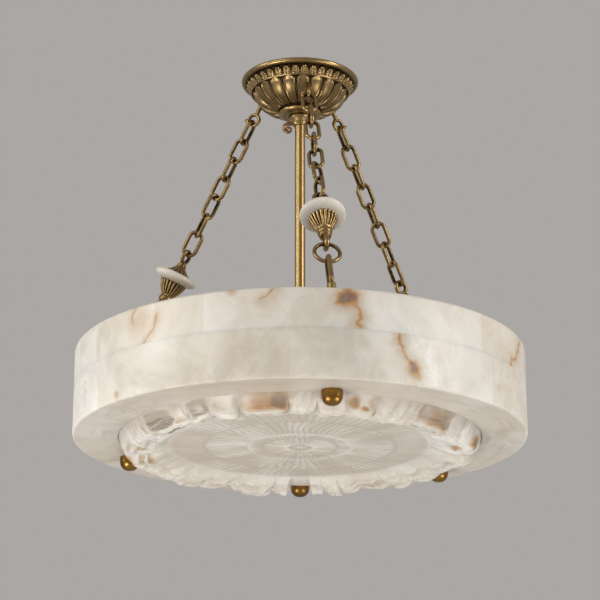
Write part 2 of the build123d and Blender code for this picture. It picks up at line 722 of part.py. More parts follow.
def upper_course():
    """Plain wall blocks of the upper course, bonded end to end."""
    bond = math.degrees(BOND_GAP / DRUM_RADIUS)
    with BuildPart() as block:
        with BuildSketch(meridian(UPPER_SEAM_AZIMUTH)) as section:
            with Locations((DRUM_RADIUS - DRUM_WALL / 2, (SEAM_LEVEL + DRUM_TOP) / 2)):
                Rectangle(DRUM_WALL, DRUM_TOP - SEAM_LEVEL)
            chamfer(section.vertices().group_by(Axis.Z)[-1], DRUM_EDGE)
        revolve(axis=Axis.Z, revolution_arc=360 / UPPER_BLOCKS - bond)
    with BuildPart() as course:
        with PolarLocations(0, UPPER_BLOCKS):
            add(block.part)
    return course


def lower_course():
    """Wall blocks of the lower course, each carved with its length of the ledge, and drilled."""
    bond = math.degrees(BOND_GAP / DRUM_RADIUS)
    with BuildPart() as block:
        with BuildSketch(meridian(LOWER_SEAM_AZIMUTH)) as section:
            with BuildLine():
                Polyline(
                    (OPENING_RADIUS, DRUM_BOTTOM),
                    (DRUM_RADIUS, DRUM_BOTTOM),
                    (DRUM_RADIUS, SEAM_LEVEL),
                    (WALL_INNER_RADIUS, SEAM_LEVEL),
                    (WALL_INNER_RADIUS, LEDGE_TOP),
                    (OPENING_RADIUS, LEDGE_TOP),
                    close=True,
                )
            make_face()
            outer_corner = Vector(outward(LOWER_SEAM_AZIMUTH) * DRUM_RADIUS + Vector(0, 0, DRUM_BOTTOM))
            chamfer(section.vertices().sort_by_distance(outer_corner)[0], DRUM_EDGE)
        revolve(axis=Axis.Z, revolution_arc=360 / LOWER_BLOCKS - bond)
    with BuildPart() as course:
        with PolarLocations(0, LOWER_BLOCKS):
            add(block.part)
        for azimuth in STUD_AZIMUTHS:
            with BuildSketch(level(azimuth, DRUM_BOTTOM)):
                with Locations((STUD_CIRCLE_RADIUS, 0)):
                    Circle(STUD_RADIUS + STUD_CLEARANCE)
            extrude(amount=LEDGE_THICKNESS, mode=Mode.SUBTRACT)
    return course


def carved_dish():
    """Stone slab that fills the opening: its flange rests on the ledge, and its face has a rosette."""
    flange_radius = WALL_INNER_RADIUS - DISH_FLANGE_CLEARANCE
    with BuildPart() as dish:
        with BuildSketch(Plane.XZ):
            with BuildLine():
                Polyline(
                    (DISH_RADIUS, DISH_FACE),
                    (DISH_RADIUS, LEDGE_TOP),
                    (flange_radius, LEDGE_TOP),
                    (flange_radius, FLANGE_TOP),
                    (0, FLANGE_TOP),
                    (0, DISH_FACE - 2 * ROSETTE_STEP),
                    (ROSETTE_EYE_RADIUS, DISH_FACE - 2 * ROSETTE_STEP),
                    (ROSETTE_EYE_RADIUS, DISH_FACE - ROSETTE_STEP),
                    (ROSETTE_RADIUS, DISH_FACE - ROSETTE_STEP),
                    (ROSETTE_RADIUS, DISH_FACE),
                    close=True,
                )
            make_face()
        revolve(axis=Axis.Z)
        for azimuth in STUD_AZIMUTHS:
            with BuildSketch(level(azimuth, DRUM_BOTTOM)):
                with Locations((STUD_CIRCLE_RADIUS, 0)):
                    Circle(FINIAL_RADIUS + FINIAL_POCKET_CLEARANCE)
            extrude(amount=-DISH_RISE, mode=Mode.SUBTRACT)
            with BuildSketch(level(azimuth, LEDGE_TOP)):
                with Locations((STUD_CIRCLE_RADIUS, 0)):
                    Circle(STUD_RADIUS + STUD_CLEARANCE)
            extrude(amount=DISH_FLANGE_THICKNESS, mode=Mode.SUBTRACT)
    return dish


def petal_border():
    """Carved blocks bonded end to end under the dish's rim, two petals on each, open at the rear finial."""
    frill_inner = DISH_RADIUS - FRILL_WIDTH
    frill_low = DRUM_BOTTOM - FRILL_DROP
    bond = math.degrees(BOND_GAP / DISH_RADIUS)
    with BuildPart() as block:
        with BuildSketch(meridian(0)):
            with BuildLine():
                Polyline(
                    (frill_inner, DISH_FACE),
                    (frill_inner + FRILL_SLOPE, frill_low + FRILL_LIP),
                    (DISH_RADIUS - FRILL_WIDTH / 2, frill_low),
                    (DISH_RADIUS - FRILL_LIP, frill_low + FRILL_LIP),
                    (DISH_RADIUS, DISH_FACE),
                    close=True,
                )
            make_face()
        revolve(axis=Axis.Z, revolution_arc=360 / BORDER_BLOCKS - bond)
    with BuildPart() as border:
        with PolarLocations(0, BORDER_BLOCKS):
            add(block.part)
        for petal in range(PETALS):
            azimuth = petal * 360 / PETALS
            cut = PETAL_CUT * (1 + math.sin(petal * PETALS) / 3)
            edge = Plane(
                origin=outward(azimuth) * OPENING_RADIUS + Vector(0, 0, frill_low),
                x_dir=sideways(azimuth),
                z_dir=-outward(azimuth),
            )
            with BuildSketch(edge):
                Polygon(
                    (-PETAL_GAP / 2, -DISH_CLEARANCE),
                    (PETAL_GAP / 2, -DISH_CLEARANCE),
                    (0, cut),
                    align=None,
                )
            extrude(amount=FRILL_WIDTH, mode=Mode.SUBTRACT)
        for azimuth in STUD_AZIMUTHS:
            with BuildSketch(level(azimuth, DISH_FACE)):
                with Locations((STUD_CIRCLE_RADIUS, 0)):
                    Circle(FINIAL_RADIUS + FINIAL_POCKET_CLEARANCE)
            extrude(amount=-FRILL_DROP, mode=Mode.SUBTRACT)
        with BuildSketch(level(REAR_STUD_AZIMUTH, DISH_FACE)):
            with Locations((DISH_RADIUS - FRILL_WIDTH / 2, 0)):
                Rectangle(2 * FRILL_WIDTH, 2 * (FINIAL_RADIUS + FINIAL_POCKET_CLEARANCE))
        extrude(amount=-FRILL_DROP, mode=Mode.SUBTRACT)
    return border


def cluster_body():
    """Hexagonal body on the rod: three flats take arms and three take lampholders."""
    with BuildPart() as body:
        with BuildSketch(level(CHAIN_AZIMUTHS["front"], HUB_BOTTOM)):
            RegularPolygon(HUB_APOTHEM, 6, major_radius=False, rotation=30)
            Circle(ROD_RADIUS + ROD_CLEARANCE, mode=Mode.SUBTRACT)
        extrude(amount=HUB_TOP - HUB_BOTTOM)
    return body


def cluster_nut():
    """Round nut on the rod's foot, under the cluster body."""
    with BuildPart() as nut:
        with BuildSketch(Plane.XY.offset(HUB_BOTTOM)):
            Circle(HUB_NUT_RADIUS)
            Circle(ROD_RADIUS + ROD_CLEARANCE, mode=Mode.SUBTRACT)
        extrude(amount=-HUB_NUT_HEIGHT)
    return nut


def arm(azimuth):
    """Flat bar from the cluster body to an eye stud."""
    length = STUD_CIRCLE_RADIUS - HUB_APOTHEM
    with BuildPart() as bar:
        with BuildSketch(level(azimuth, ARM_BOTTOM)):
            with Locations((HUB_APOTHEM + length / 2, 0)):
                Rectangle(length, ARM_WIDTH)
            with Locations((STUD_CIRCLE_RADIUS, 0)):
                Circle(ARM_END_RADIUS)
                Circle(STUD_RADIUS + ROD_CLEARANCE, mode=Mode.SUBTRACT)
        extrude(amount=ARM_THICKNESS)
    return bar


def lampholder(azimuth):
    """Screw-in lampholder lying outward on a flat of the cluster body."""
    axis = Axis((0, 0, LAMP_LEVEL), outward(azimuth))
    back = HUB_APOTHEM + HOLDER_NIPPLE_LENGTH
    mouth = back + HOLDER_LENGTH
    with BuildPart() as holder:
        with BuildSketch(meridian(azimuth)):
            with BuildLine():
                Polyline(
                    (HUB_APOTHEM, LAMP_LEVEL),
                    (HUB_APOTHEM, LAMP_LEVEL + HOLDER_NIPPLE_RADIUS),
                    (back, LAMP_LEVEL + HOLDER_NIPPLE_RADIUS),
                    (back, LAMP_LEVEL + HOLDER_RADIUS),
                    (mouth, LAMP_LEVEL + HOLDER_RADIUS),
                    (mouth, LAMP_LEVEL + HOLDER_BORE_RADIUS),
                    (mouth - HOLDER_BORE_DEPTH, LAMP_LEVEL + HOLDER_BORE_RADIUS),
                    (mouth - HOLDER_BORE_DEPTH, LAMP_LEVEL),
                    close=True,
                )
            make_face()
        revolve(axis=axis)
    return holder


def bulb(azimuth):
    """Candle bulb screwed into a lampholder."""
    axis = Axis((0, 0, LAMP_LEVEL), outward(azimuth))
    mouth = HUB_APOTHEM + HOLDER_NIPPLE_LENGTH + HOLDER_LENGTH
    cap_end = mouth - HOLDER_BORE_DEPTH + END_CLEARANCE
    shoulder = mouth + BULB_SHOULDER
    belly = shoulder + BULB_BELLY
    cap_radius = HOLDER_BORE_RADIUS - RUNNING_CLEARANCE
    with BuildPart() as lamp:
        with BuildSketch(meridian(azimuth)):
            with BuildLine():
                Polyline(
                    (belly + BULB_NOSE, LAMP_LEVEL),
                    (cap_end, LAMP_LEVEL),
                    (cap_end, LAMP_LEVEL + cap_radius),
                    (shoulder, LAMP_LEVEL + cap_radius),
                    (shoulder, LAMP_LEVEL + BULB_NECK_RADIUS),
                )
                SagittaArc(
                    (shoulder, LAMP_LEVEL + BULB_NECK_RADIUS),
                    (belly, LAMP_LEVEL + BULB_RADIUS),
                    -BULB_BELLY_SWELL,
                )
                nose = SagittaArc(
                    (belly, LAMP_LEVEL + BULB_RADIUS),
                    (belly + BULB_NOSE, LAMP_LEVEL + BULB_TIP_RADIUS),
                    -BULB_NOSE_SWELL,
                )
                Line(nose @ 1, (belly + BULB_NOSE, LAMP_LEVEL))
            make_face()
        revolve(axis=axis)
    return lamp


os.makedirs("parts", exist_ok=True)
save(ceiling_bracket(), "ceiling_bracket")
save(nipple(), "nipple")
save(bracket_nuts(), "bracket_nuts")
save(canopy(), "canopy")
save(canopy_collar(), "canopy_collar")
save(rod_neck(), "rod_neck")
save(scroll_hook(), "scroll_hook")
save(centre_rod(), "centre_rod")
save(upper_course(), "drum_upper_course")
save(lower_course(), "drum_lower_course")
save(carved_dish(), "carved_dish")
save(petal_border(), "petal_border")
save(cluster_body(), "cluster_body")
save(cluster_nut(), "cluster_nut")
save(arm_nuts(), "arm_nuts")
save(rear_stud(), "rear_stud")
save(finial(REAR_STUD_AZIMUTH), "rear_finial")
for side, azimuth in CHAIN_AZIMUTHS.items():
    extra_links = EXTRA_LINKS[side]
    bead_drop = extra_links * LINK_PITCH
    save(canopy_eye(azimuth), f"{side}_canopy_eye")
    save(chain_links(azimuth, CHAIN_TWISTS[side], extra_links), f"{side}_chain_links")
    save(bead_stem(azimuth, extra_links), f"{side}_bead_stem")
    save(upper_bell(azimuth, bead_drop), f"{side}_upper_bell")
    save(bead_disc(azimuth, bead_drop), f"{side}_bead_disc")
    save(lower_bell(azimuth, bead_drop), f"{side}_lower_bell")
    save(bead_foot(azimuth, bead_drop), f"{side}_bead_foot")
    save(chain_ring(azimuth, bead_drop), f"{side}_chain_ring")
    save(eye_stud(azimuth, bead_drop), f"{side}_eye_stud")
    save(finial(azimuth), f"{side}_finial")
    save(arm(azimuth), f"{side}_arm")
    lamp_azimuth = azimuth + 180 / len(SIDES)
    save(lampholder(lamp_azimuth), f"{side}_lampholder")
    save(bulb(lamp_azimuth), f"{side}_bulb")
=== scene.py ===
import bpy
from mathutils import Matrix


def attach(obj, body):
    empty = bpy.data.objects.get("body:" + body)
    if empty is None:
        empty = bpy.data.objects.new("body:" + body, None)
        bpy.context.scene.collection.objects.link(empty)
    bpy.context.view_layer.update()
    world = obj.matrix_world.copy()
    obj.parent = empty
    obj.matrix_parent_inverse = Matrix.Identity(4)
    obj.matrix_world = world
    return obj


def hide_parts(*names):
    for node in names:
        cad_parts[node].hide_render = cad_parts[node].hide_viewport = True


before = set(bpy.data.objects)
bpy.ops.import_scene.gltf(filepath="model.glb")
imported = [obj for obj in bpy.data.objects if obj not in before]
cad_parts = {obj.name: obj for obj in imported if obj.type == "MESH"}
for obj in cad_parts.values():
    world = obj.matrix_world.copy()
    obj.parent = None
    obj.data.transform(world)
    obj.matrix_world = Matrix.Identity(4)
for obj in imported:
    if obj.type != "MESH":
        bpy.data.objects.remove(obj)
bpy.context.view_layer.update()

import math

import bpy
import numpy as np
from mathutils import Vector

# Sizes in millimetres, as in the solids; azimuth 0 is the front (-Y) and grows towards +X
MM = 0.001
SIDES = {"front": 9.0, "right": 129.0, "left": 249.0}
LINK_TWISTS = {"front": 0.0, "right": -25.0, "left": 0.0}
EXTRA_LINKS = {"front": 0, "right": 1, "left": 0}
REAR_AZIMUTH = 180.0
FIXED = "fixed_frame"

DRUM_BOTTOM = -433.0
DRUM_TOP = -337.0
SEAM_LEVEL = -380.0
LEDGE_TOP = -413.0
FLANGE_TOP = -403.0
DRUM_RADIUS = 250.0
WALL_INNER_RADIUS = 226.0
OPENING_RADIUS = 200.0
DISH_RADIUS = 199.5
FLANGE_RADIUS = 224.0

STUD_CIRCLE = 207.0
STUD_FOOT = -443.4
ARM_TOP = -339.0
FINIAL_RADIUS = 11.3
CHAIN_FOOT = -325.0
CHAIN_TOP_RADIUS = 50.0
BOWL_CENTRE = np.array([24.5, -9.0])
BOWL_RADIUS = 31.0
BOWL_START = -23.0
CHAIN_TOP = BOWL_CENTRE[1] - math.sqrt(BOWL_RADIUS**2 - (CHAIN_TOP_RADIUS - BOWL_CENTRE[0]) ** 2)

# Heights along a chain's line, from its stud up, and sizes of its pieces
LUG_EYE_LOW, LUG_EYE_TOP = 4.8, 48.8
RING_LOW, RING_DIAMETER, RING_WIRE = 38.8, 31.5, 4.2
FOOT_LOOP_LOW, FOOT_LOOP_HIGH = 60.3, 81.3
FOOT_LOW = 78.5
LOWER_BELL_LOW = 89.5
DISC_LOW = 107.0
UPPER_BELL_LOW = 119.0
STEM_COLLAR_LOW = 127.5
STEM_LOOP_LOW, STEM_LOOP_HIGH = 130.2, 150.2
SHANK_RADIUS = 3.0
LOOP_WIRE, LOOP_WIDTH = 5.6, 17.0
STEM_WIRE = 4.6
LINK_WIRE, LINK_WIDTH = 4.4, 19.0
LINK_COUNT = 7
EYE_WIRE, EYE_DIAMETER = 4.0, 17.0
SLACK = 0.2


# Places and directions


def outward(azimuth):
    """Unit vector from the lamp's axis towards an azimuth."""
    angle = math.radians(azimuth)
    return np.array([math.sin(angle), -math.cos(angle), 0.0])


def sideways(azimuth):
    """Unit vector square to an azimuth's upright plane."""
    angle = math.radians(azimuth)
    return np.array([-math.cos(angle), -math.sin(angle), 0.0])


def turned_about(vector, axis, degrees):
    """Vector turned about an axis through the origin."""
    angle = math.radians(degrees)
    along = axis * np.dot(axis, vector)
    return along + (vector - along) * math.cos(angle) + np.cross(axis, vector) * math.sin(angle)


class Place:
    """Axis to turn or bend a piece about: an origin, an axis and two directions across it."""

    def __init__(self, origin, axis, across):
        self.origin = np.asarray(origin, float)
        self.axis = np.asarray(axis, float) / np.linalg.norm(axis)
        across = np.asarray(across, float)
        across = across - self.axis * np.dot(self.axis, across)
        self.across = across / np.linalg.norm(across)
        self.square = np.cross(self.axis, self.across)

    def points(self, across, square, along):
        """Points of the lamp, in millimetres, from coordinates on this place's axes."""
        parts = np.broadcast_arrays(across, square, along)
        return (
            self.origin
            + parts[0][..., None] * self.across
            + parts[1][..., None] * self.square
            + parts[2][..., None] * self.axis
        )


LAMP_AXIS = Place((0, 0, 0), (0, 0, 1), (0, -1, 0))


def stud_place(azimuth):
    return Place(outward(azimuth) * STUD_CIRCLE, (0, 0, 1), outward(azimuth))


def chain_place(azimuth, turn=0.0, drop=0.0):
    """Line of a chain from its stud, less a drop, up to the canopy; loops lie in the plane across it."""
    foot = outward(azimuth) * STUD_CIRCLE + np.array([0, 0, CHAIN_FOOT])
    head = outward(azimuth) * CHAIN_TOP_RADIUS + np.array([0, 0, CHAIN_TOP])
    line = (head - foot) / np.linalg.norm(head - foot)
    side = turned_about(sideways(azimuth), line, turn)
    return Place(foot - line * drop, line, np.cross(line, side))


CHAIN_LENGTH = math.hypot(STUD_CIRCLE - CHAIN_TOP_RADIUS, CHAIN_TOP - CHAIN_FOOT)
EYE_HIGH = CHAIN_LENGTH - 8.0
EYE_LOW = EYE_HIGH - EYE_DIAMETER
FIRST_LINK_HIGH = EYE_LOW + EYE_WIRE + SLACK + LINK_WIRE
LAST_LINK_LOW = STEM_LOOP_HIGH - STEM_WIRE - SLACK - LINK_WIRE
LINK_PITCH = (FIRST_LINK_HIGH - LAST_LINK_LOW - 2 * LINK_WIRE - SLACK) / LINK_COUNT
LINK_LENGTH = LINK_PITCH + 2 * LINK_WIRE + SLACK


# Eased steps and smooth noise


def smooth(low, high, value):
    """Eased step from 0 at low to 1 at high."""
    t = np.clip((value - low) / (high - low), 0.0, 1.0)
    return t * t * (3 - 2 * t)


def fade(away, reach):
    """1 at a place, easing off to nothing about twice its reach away."""
    return np.exp(-((away / reach) ** 2))


def wander(seed, x, y, period=0):
    """Smooth noise between -1 and 1; x repeats after a whole number of cells if a period is given."""
    x, y = np.broadcast_arrays(np.asarray(x, float), np.asarray(y, float))
    x0, y0 = np.floor(x).astype(int), np.floor(y).astype(int)
    fx, fy = x - x0, y - y0
    fx, fy = fx * fx * (3 - 2 * fx), fy * fy * (3 - 2 * fy)
    table = np.random.default_rng(seed).uniform(-1, 1, (512, 64))

    def at(column, row):
        column = column % period if period else column
        return table[column % 512, row % 64]

    low = at(x0, y0) * (1 - fx) + at(x0 + 1, y0) * fx
    high = at(x0, y0 + 1) * (1 - fx) + at(x0 + 1, y0 + 1) * fx
    return low * (1 - fy) + high * fy


# Profiles of radius and height


def polar(angle):
    """Unit vector of radius and height at an angle in radians."""
    return np.array([math.cos(angle), math.sin(angle)])


def above(level, points):
    """Profile with its heights counted from a level."""
    return [(radius, level + height) for radius, height in points]


def rounded(points, radius, steps=4):
    """Profile with its inner corners eased to arc-like bends, of one radius or of one radius each."""
    points = [np.asarray(p, float) for p in points]
    radii = np.broadcast_to(np.asarray(radius, float), (len(points) - 2,))
    run = [points[0]]
    for before, corner, after, bend in zip(points, points[1:], points[2:], radii):
        back, ahead = before - corner, after - corner
        reach = min(bend, 0.45 * np.linalg.norm(back), 0.45 * np.linalg.norm(ahead))
        start = corner + back / np.linalg.norm(back) * reach
        end = corner + ahead / np.linalg.norm(ahead) * reach
        for step in range(steps + 1):
            t = step / steps
            run.append((1 - t) ** 2 * start + 2 * t * (1 - t) * corner + t * t * end)
    run.append(points[-1])
    return np.array(run)


def stretch(profile, spacing):
    """Profile with points added so that none are further apart than the spacing."""
    run = [profile[0]]
    for start, end in zip(profile, profile[1:]):
        count = max(1, math.ceil(np.linalg.norm(end - start) / spacing))
        run += [start + (end - start) * step / count for step in range(1, count + 1)]
    return np.array(run)


# Meshes


def skin(points, painted_shade=None, wrap_rows=False):
    """Vertices, faces and painted groove shade of a row of rings, its open ends closed by flat faces."""
    rows, columns = points.shape[:2]
    index = np.arange(rows * columns).reshape(rows, columns)
    low = index if wrap_rows else index[:-1]
    high = np.roll(index, -1, axis=0) if wrap_rows else index[1:]
    low_next, high_next = np.roll(low, -1, axis=1), np.roll(high, -1, axis=1)
    faces = np.stack([low, low_next, high_next, high], axis=-1).reshape(-1, 4).tolist()
    if not wrap_rows:
        faces.append(index[0][::-1].tolist())
        faces.append(index[-1].tolist())
    painted_shade = np.zeros((rows, columns)) if painted_shade is None else np.broadcast_to(painted_shade, (rows, columns))
    return points.reshape(-1, 3), faces, painted_shade.ravel()


def joined(parts):
    """Several skins as one."""
    faces, count = [], 0
    for part_vertices, part_faces, _ in parts:
        faces += [[corner + count for corner in face] for face in part_faces]
        count += len(part_vertices)
    vertices = np.concatenate([part[0] for part in parts])
    return vertices, faces, np.concatenate([part[2] for part in parts])


def placed(name, data):
    """New object of the scene, made of a mesh, a light or a camera."""
    made = bpy.data.objects.new(name, data)
    bpy.context.scene.collection.objects.link(made)
    return made


def piece(name, shell, material, body, stands_for, sharp=40.0, masks=None, face_masks=None):
    """Make a mesh piece, with its finish, that rides on a body and stands for solids."""
    vertices, faces, painted_shade = shell
    mesh = bpy.data.meshes.new(name)
    mesh.from_pydata((vertices * MM).tolist(), [], faces)
    mesh.validate()
    mesh.polygons.foreach_set("use_smooth", [True] * len(mesh.polygons))
    mesh.set_sharp_from_angle(angle=math.radians(sharp))
    # Painted shade of each point, and the piece's other masks, as attributes
    layers = [("painted_shade", painted_shade, "POINT")]
    layers += [(label, values, "POINT") for label, values in (masks or {}).items()]
    layers += [(label, values, "FACE") for label, values in (face_masks or {}).items()]
    for label, values, domain in layers:
        layer = mesh.attributes.new(label, "FLOAT", domain)
        layer.data.foreach_set("value", np.asarray(values, np.float32).ravel())
    mesh.materials.append(material)
    made = placed(name, mesh)
    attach(made, body)
    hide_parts(*stands_for)


def lathe(profile, place, segments):
    """Rings of points from a profile, turned about a place's axis."""
    profile = np.asarray(profile, float)
    angles = np.linspace(0, 2 * math.pi, segments, endpoint=False)
    radius = profile[:, :1]
    return place.points(radius * np.cos(angles), radius * np.sin(angles), profile[:, 1:])


def turned(profile, place, segments, dark=None):
    """Skin of a piece turned about a place's axis, with the painted shade of each point of its profile."""
    painted_shade = None if dark is None else np.asarray(dark, float)[:, None]
    return skin(lathe(profile, place, segments), painted_shade)


def ring_row(ways, radius, level):
    """Ring of points round the lamp's axis, with one radius and level or with one for each way out."""
    across = ways[:, :2] * np.broadcast_to(radius, len(ways))[:, None]
    return np.column_stack([across, np.broadcast_to(level, len(ways))])


def tube(path, radius, sides=14, closed=False, heart=None):
    """Skin of a round wire along a path, with painted shade on the side that faces a heart line if one is
    given.
    """
    path = np.asarray(path, float)
    ahead = np.roll(path, -1, axis=0) - np.roll(path, 1, axis=0)
    if not closed:
        ahead[0], ahead[-1] = path[1] - path[0], path[-1] - path[-2]
    ahead /= np.linalg.norm(ahead, axis=1)[:, None]
    normal = np.cross(ahead[0], ahead[len(path) // 3] + np.array([0.013, 0.007, 0.011]))
    normal /= np.linalg.norm(normal)
    radius = np.broadcast_to(np.asarray(radius, float), (len(path),))
    angles = np.linspace(0, 2 * math.pi, sides, endpoint=False)
    rows, ways = [], []
    for point, direction, size in zip(path, ahead, radius):
        normal = normal - direction * np.dot(direction, normal)
        normal /= np.linalg.norm(normal)
        square = np.cross(direction, normal)
        ways.append(np.cos(angles)[:, None] * normal + np.sin(angles)[:, None] * square)
        rows.append(point + size * ways[-1])
    painted_shade = None
    if heart is not None:
        inward = heart - path
        inward /= np.linalg.norm(inward, axis=1)[:, None]
        # Painted shade on the inner side of a loop, where it faces the heart line
        painted_shade = 0.75 * smooth(0.1, 0.9, np.einsum("rcx,rx->rc", np.array(ways), inward))
    return skin(np.array(rows), painted_shade, wrap_rows=closed)


def wire_loop(place, low, high, width, wire, bends=14):
    """Round wire bent to a loop with straight sides, between two heights on a place's axis."""
    reach = (width - wire) / 2
    top, bottom = high - wire / 2 - reach, low + wire / 2 + reach
    turn = np.linspace(0, math.pi, bends)
    if top - bottom < wire / 4:
        turn = np.linspace(0, 2 * math.pi, 2 * bends, endpoint=False)
        across = reach * np.cos(turn)
        middle = np.full(2 * bends, (top + bottom) / 2)
        along = middle + reach * np.sin(turn)
    else:
        run = np.linspace(0, 1, 6)[1:-1]
        flat = np.full(4, reach)
        across = np.concatenate([reach * np.cos(turn), -flat, -reach * np.cos(turn), flat])
        along = np.concatenate(
            [
                top + reach * np.sin(turn),
                top + (bottom - top) * run,
                bottom - reach * np.sin(turn),
                bottom + (top - bottom) * run,
            ]
        )
        middle = np.clip(along, bottom, top)
    heart = place.points(0.0, 0.0, middle)
    return tube(place.points(across, 0.0, along), wire / 2, closed=True, heart=heart)


# Shading


class Wiring:
    """A node tree, with short ways to add the nodes that the finishes use."""

    def __init__(self, tree):
        self.tree = tree

    def node(self, kind, inputs=None, **settings):
        """Add a node, with its settings, and link or set its inputs."""
        made = self.tree.nodes.new(kind)
        for key, value in settings.items():
            setattr(made, key, value)
        for key, value in (inputs or {}).items():
            if isinstance(value, bpy.types.NodeSocket):
                self.tree.links.new(value, made.inputs[key])
            else:
                made.inputs[key].default_value = value
        return made

    def maths(self, operation, *values, clamp=False):
        inputs = dict(enumerate(values))
        return self.node("ShaderNodeMath", inputs, operation=operation, use_clamp=clamp).outputs[0]

    def times(self, first, second):
        return self.maths("MULTIPLY", first, second)

    def plus(self, first, second):
        return self.maths("ADD", first, second)

    def noise(self, where, scale, detail=4.0, roughness=0.55, distortion=0.0):
        inputs = {"Vector": where, "Scale": scale, "Detail": detail}
        inputs.update({"Roughness": roughness, "Distortion": distortion})
        return self.node("ShaderNodeTexNoise", inputs).outputs["Fac"]

    def span(self, value, low, high):
        """Value spread so that low becomes 0 and high becomes 1, eased."""
        inputs = {"Value": value, "From Min": low, "From Max": high}
        return self.node("ShaderNodeMapRange", inputs, interpolation_type="SMOOTHSTEP").outputs["Result"]

    def mixed(self, share, first, second, mode="MIX"):
        inputs = {0: share, 6: first, 7: second}
        made = self.node("ShaderNodeMix", inputs, data_type="RGBA", blend_type=mode, clamp_factor=True)
        return made.outputs[2]

    def tinted(self, colour, mask, strength, tint):
        """Colour turned towards a tint where a mask is strong."""
        return self.mixed(self.times(mask, strength), colour, tint)


FLOAT, COLOUR, VECTOR = "NodeSocketFloat", "NodeSocketColor", "NodeSocketVector"


def effect_group(name, inputs):
    """Start a node group that takes a place and more inputs; returns its wiring and its inputs."""
    tree = bpy.data.node_groups.new(name, "ShaderNodeTree")
    tree.interface.new_socket(name="Place", in_out="INPUT", socket_type=VECTOR)
    for label, value in inputs.items():
        kind = FLOAT if isinstance(value, float) else COLOUR
        socket = tree.interface.new_socket(name=label, in_out="INPUT", socket_type=kind)
        socket.default_value = value
    return Wiring(tree), tree.nodes.new("NodeGroupInput").outputs


def finish_group(tree, colour, rough, height):
    """Hand out what a node group makes: a colour, a roughness and a height."""
    made = (("Color", COLOUR, colour), ("Roughness", FLOAT, rough), ("Height", FLOAT, height))
    for label, kind, _ in made:
        tree.interface.new_socket(name=label, in_out="OUTPUT", socket_type=kind)
    out = tree.nodes.new("NodeGroupOutput")
    for label, _, socket in made:
        tree.links.new(socket, out.inputs[label])
    return tree


def stone_body_group():
    """Clouded alabaster: warm white with beige and grey clouds, pale wisps and rust stains, and painted
    shade where a piece marks it.
    """
    add, given = effect_group(
        "clouded alabaster", {"Tone": 0.0, "Stain": 0.0, "Smoke": 0.0, "Painted_shade": 0.0}
    )
    where = given["Place"]
    cloud = add.span(add.noise(where, 9.0, 5.0, 0.56, 0.8), 0.36, 0.66)
    drift = add.span(add.noise(where, 26.0, 4.0, 0.6, 1.2), 0.40, 0.70)
    veil = add.span(add.noise(where, 4.5, 3.0, 0.5, 0.4), 0.42, 0.62)
    colour = add.mixed(cloud, (0.82, 0.795, 0.745, 1), (0.64, 0.605, 0.545, 1))
    colour = add.tinted(colour, veil, 0.45, (0.74, 0.655, 0.54, 1))
    colour = add.tinted(colour, drift, 0.45, (0.88, 0.865, 0.83, 1))
    wisp = add.maths("SUBTRACT", add.noise(where, 12.0, 6.0, 0.66, 1.9), 0.5)
    wisp = add.maths("SUBTRACT", 1.0, add.span(add.maths("ABSOLUTE", wisp), 0.0, 0.055))
    wisp = add.times(wisp, add.span(add.noise(where, 7.0), 0.38, 0.62))
    colour = add.tinted(colour, wisp, 0.50, (0.90, 0.885, 0.85, 1))
    tone = add.maths("MULTIPLY_ADD", given["Tone"], 0.5, 0.5)
    block_tint = add.mixed(tone, (0.86, 0.82, 0.75, 1), (1.0, 1.0, 1.0, 1))
    colour = add.mixed(0.80, colour, block_tint, "MULTIPLY")

    ragged = add.maths("SUBTRACT", add.noise(where, 120.0, 6.0, 0.62, 0.9), 0.5)
    coarse = add.maths("SUBTRACT", add.noise(where, 34.0, 4.0, 0.6, 0.5), 0.5)
    broken = add.plus(add.plus(add.times(ragged, 0.75), add.times(coarse, 0.45)), 1.0)
    stain = add.times(given["Stain"], broken)
    colour = add.tinted(colour, add.span(stain, 0.05, 0.50), 0.72, (0.54, 0.43, 0.30, 1))
    colour = add.tinted(colour, add.span(stain, 0.36, 0.86), 0.92, (0.49, 0.235, 0.062, 1))
    mottle = add.span(add.noise(where, 190.0, 4.0, 0.65), 0.35, 0.65)
    core_tint = add.mixed(mottle, (0.235, 0.14, 0.085, 1), (0.31, 0.21, 0.15, 1))
    colour = add.mixed(add.span(stain, 0.78, 1.0), colour, core_tint)

    layers = add.node("ShaderNodeVectorMath", {0: where, 1: (16.0, 16.0, 330.0)}, operation="MULTIPLY")
    flow = add.span(add.noise(layers.outputs[0], 1.0, 5.0, 0.6, 1.1), 0.36, 0.64)
    smoke_tint = add.mixed(flow, (0.235, 0.195, 0.16, 1), (0.52, 0.455, 0.385, 1))
    smoke = add.times(given["Smoke"], broken)
    colour = add.mixed(add.span(smoke, 0.20, 0.75), colour, smoke_tint)
    # Painted shade: beige-grey in the grooves, creases and under sides that a piece marks
    colour = add.tinted(colour, given["Painted_shade"], 0.8, (0.50, 0.43, 0.35, 1))
    rough = add.maths("MULTIPLY_ADD", cloud, 0.10, 0.34)
    height = add.plus(add.noise(where, 240.0, 3.0), add.times(cloud, 0.4))
    return finish_group(add.tree, colour, rough, height)


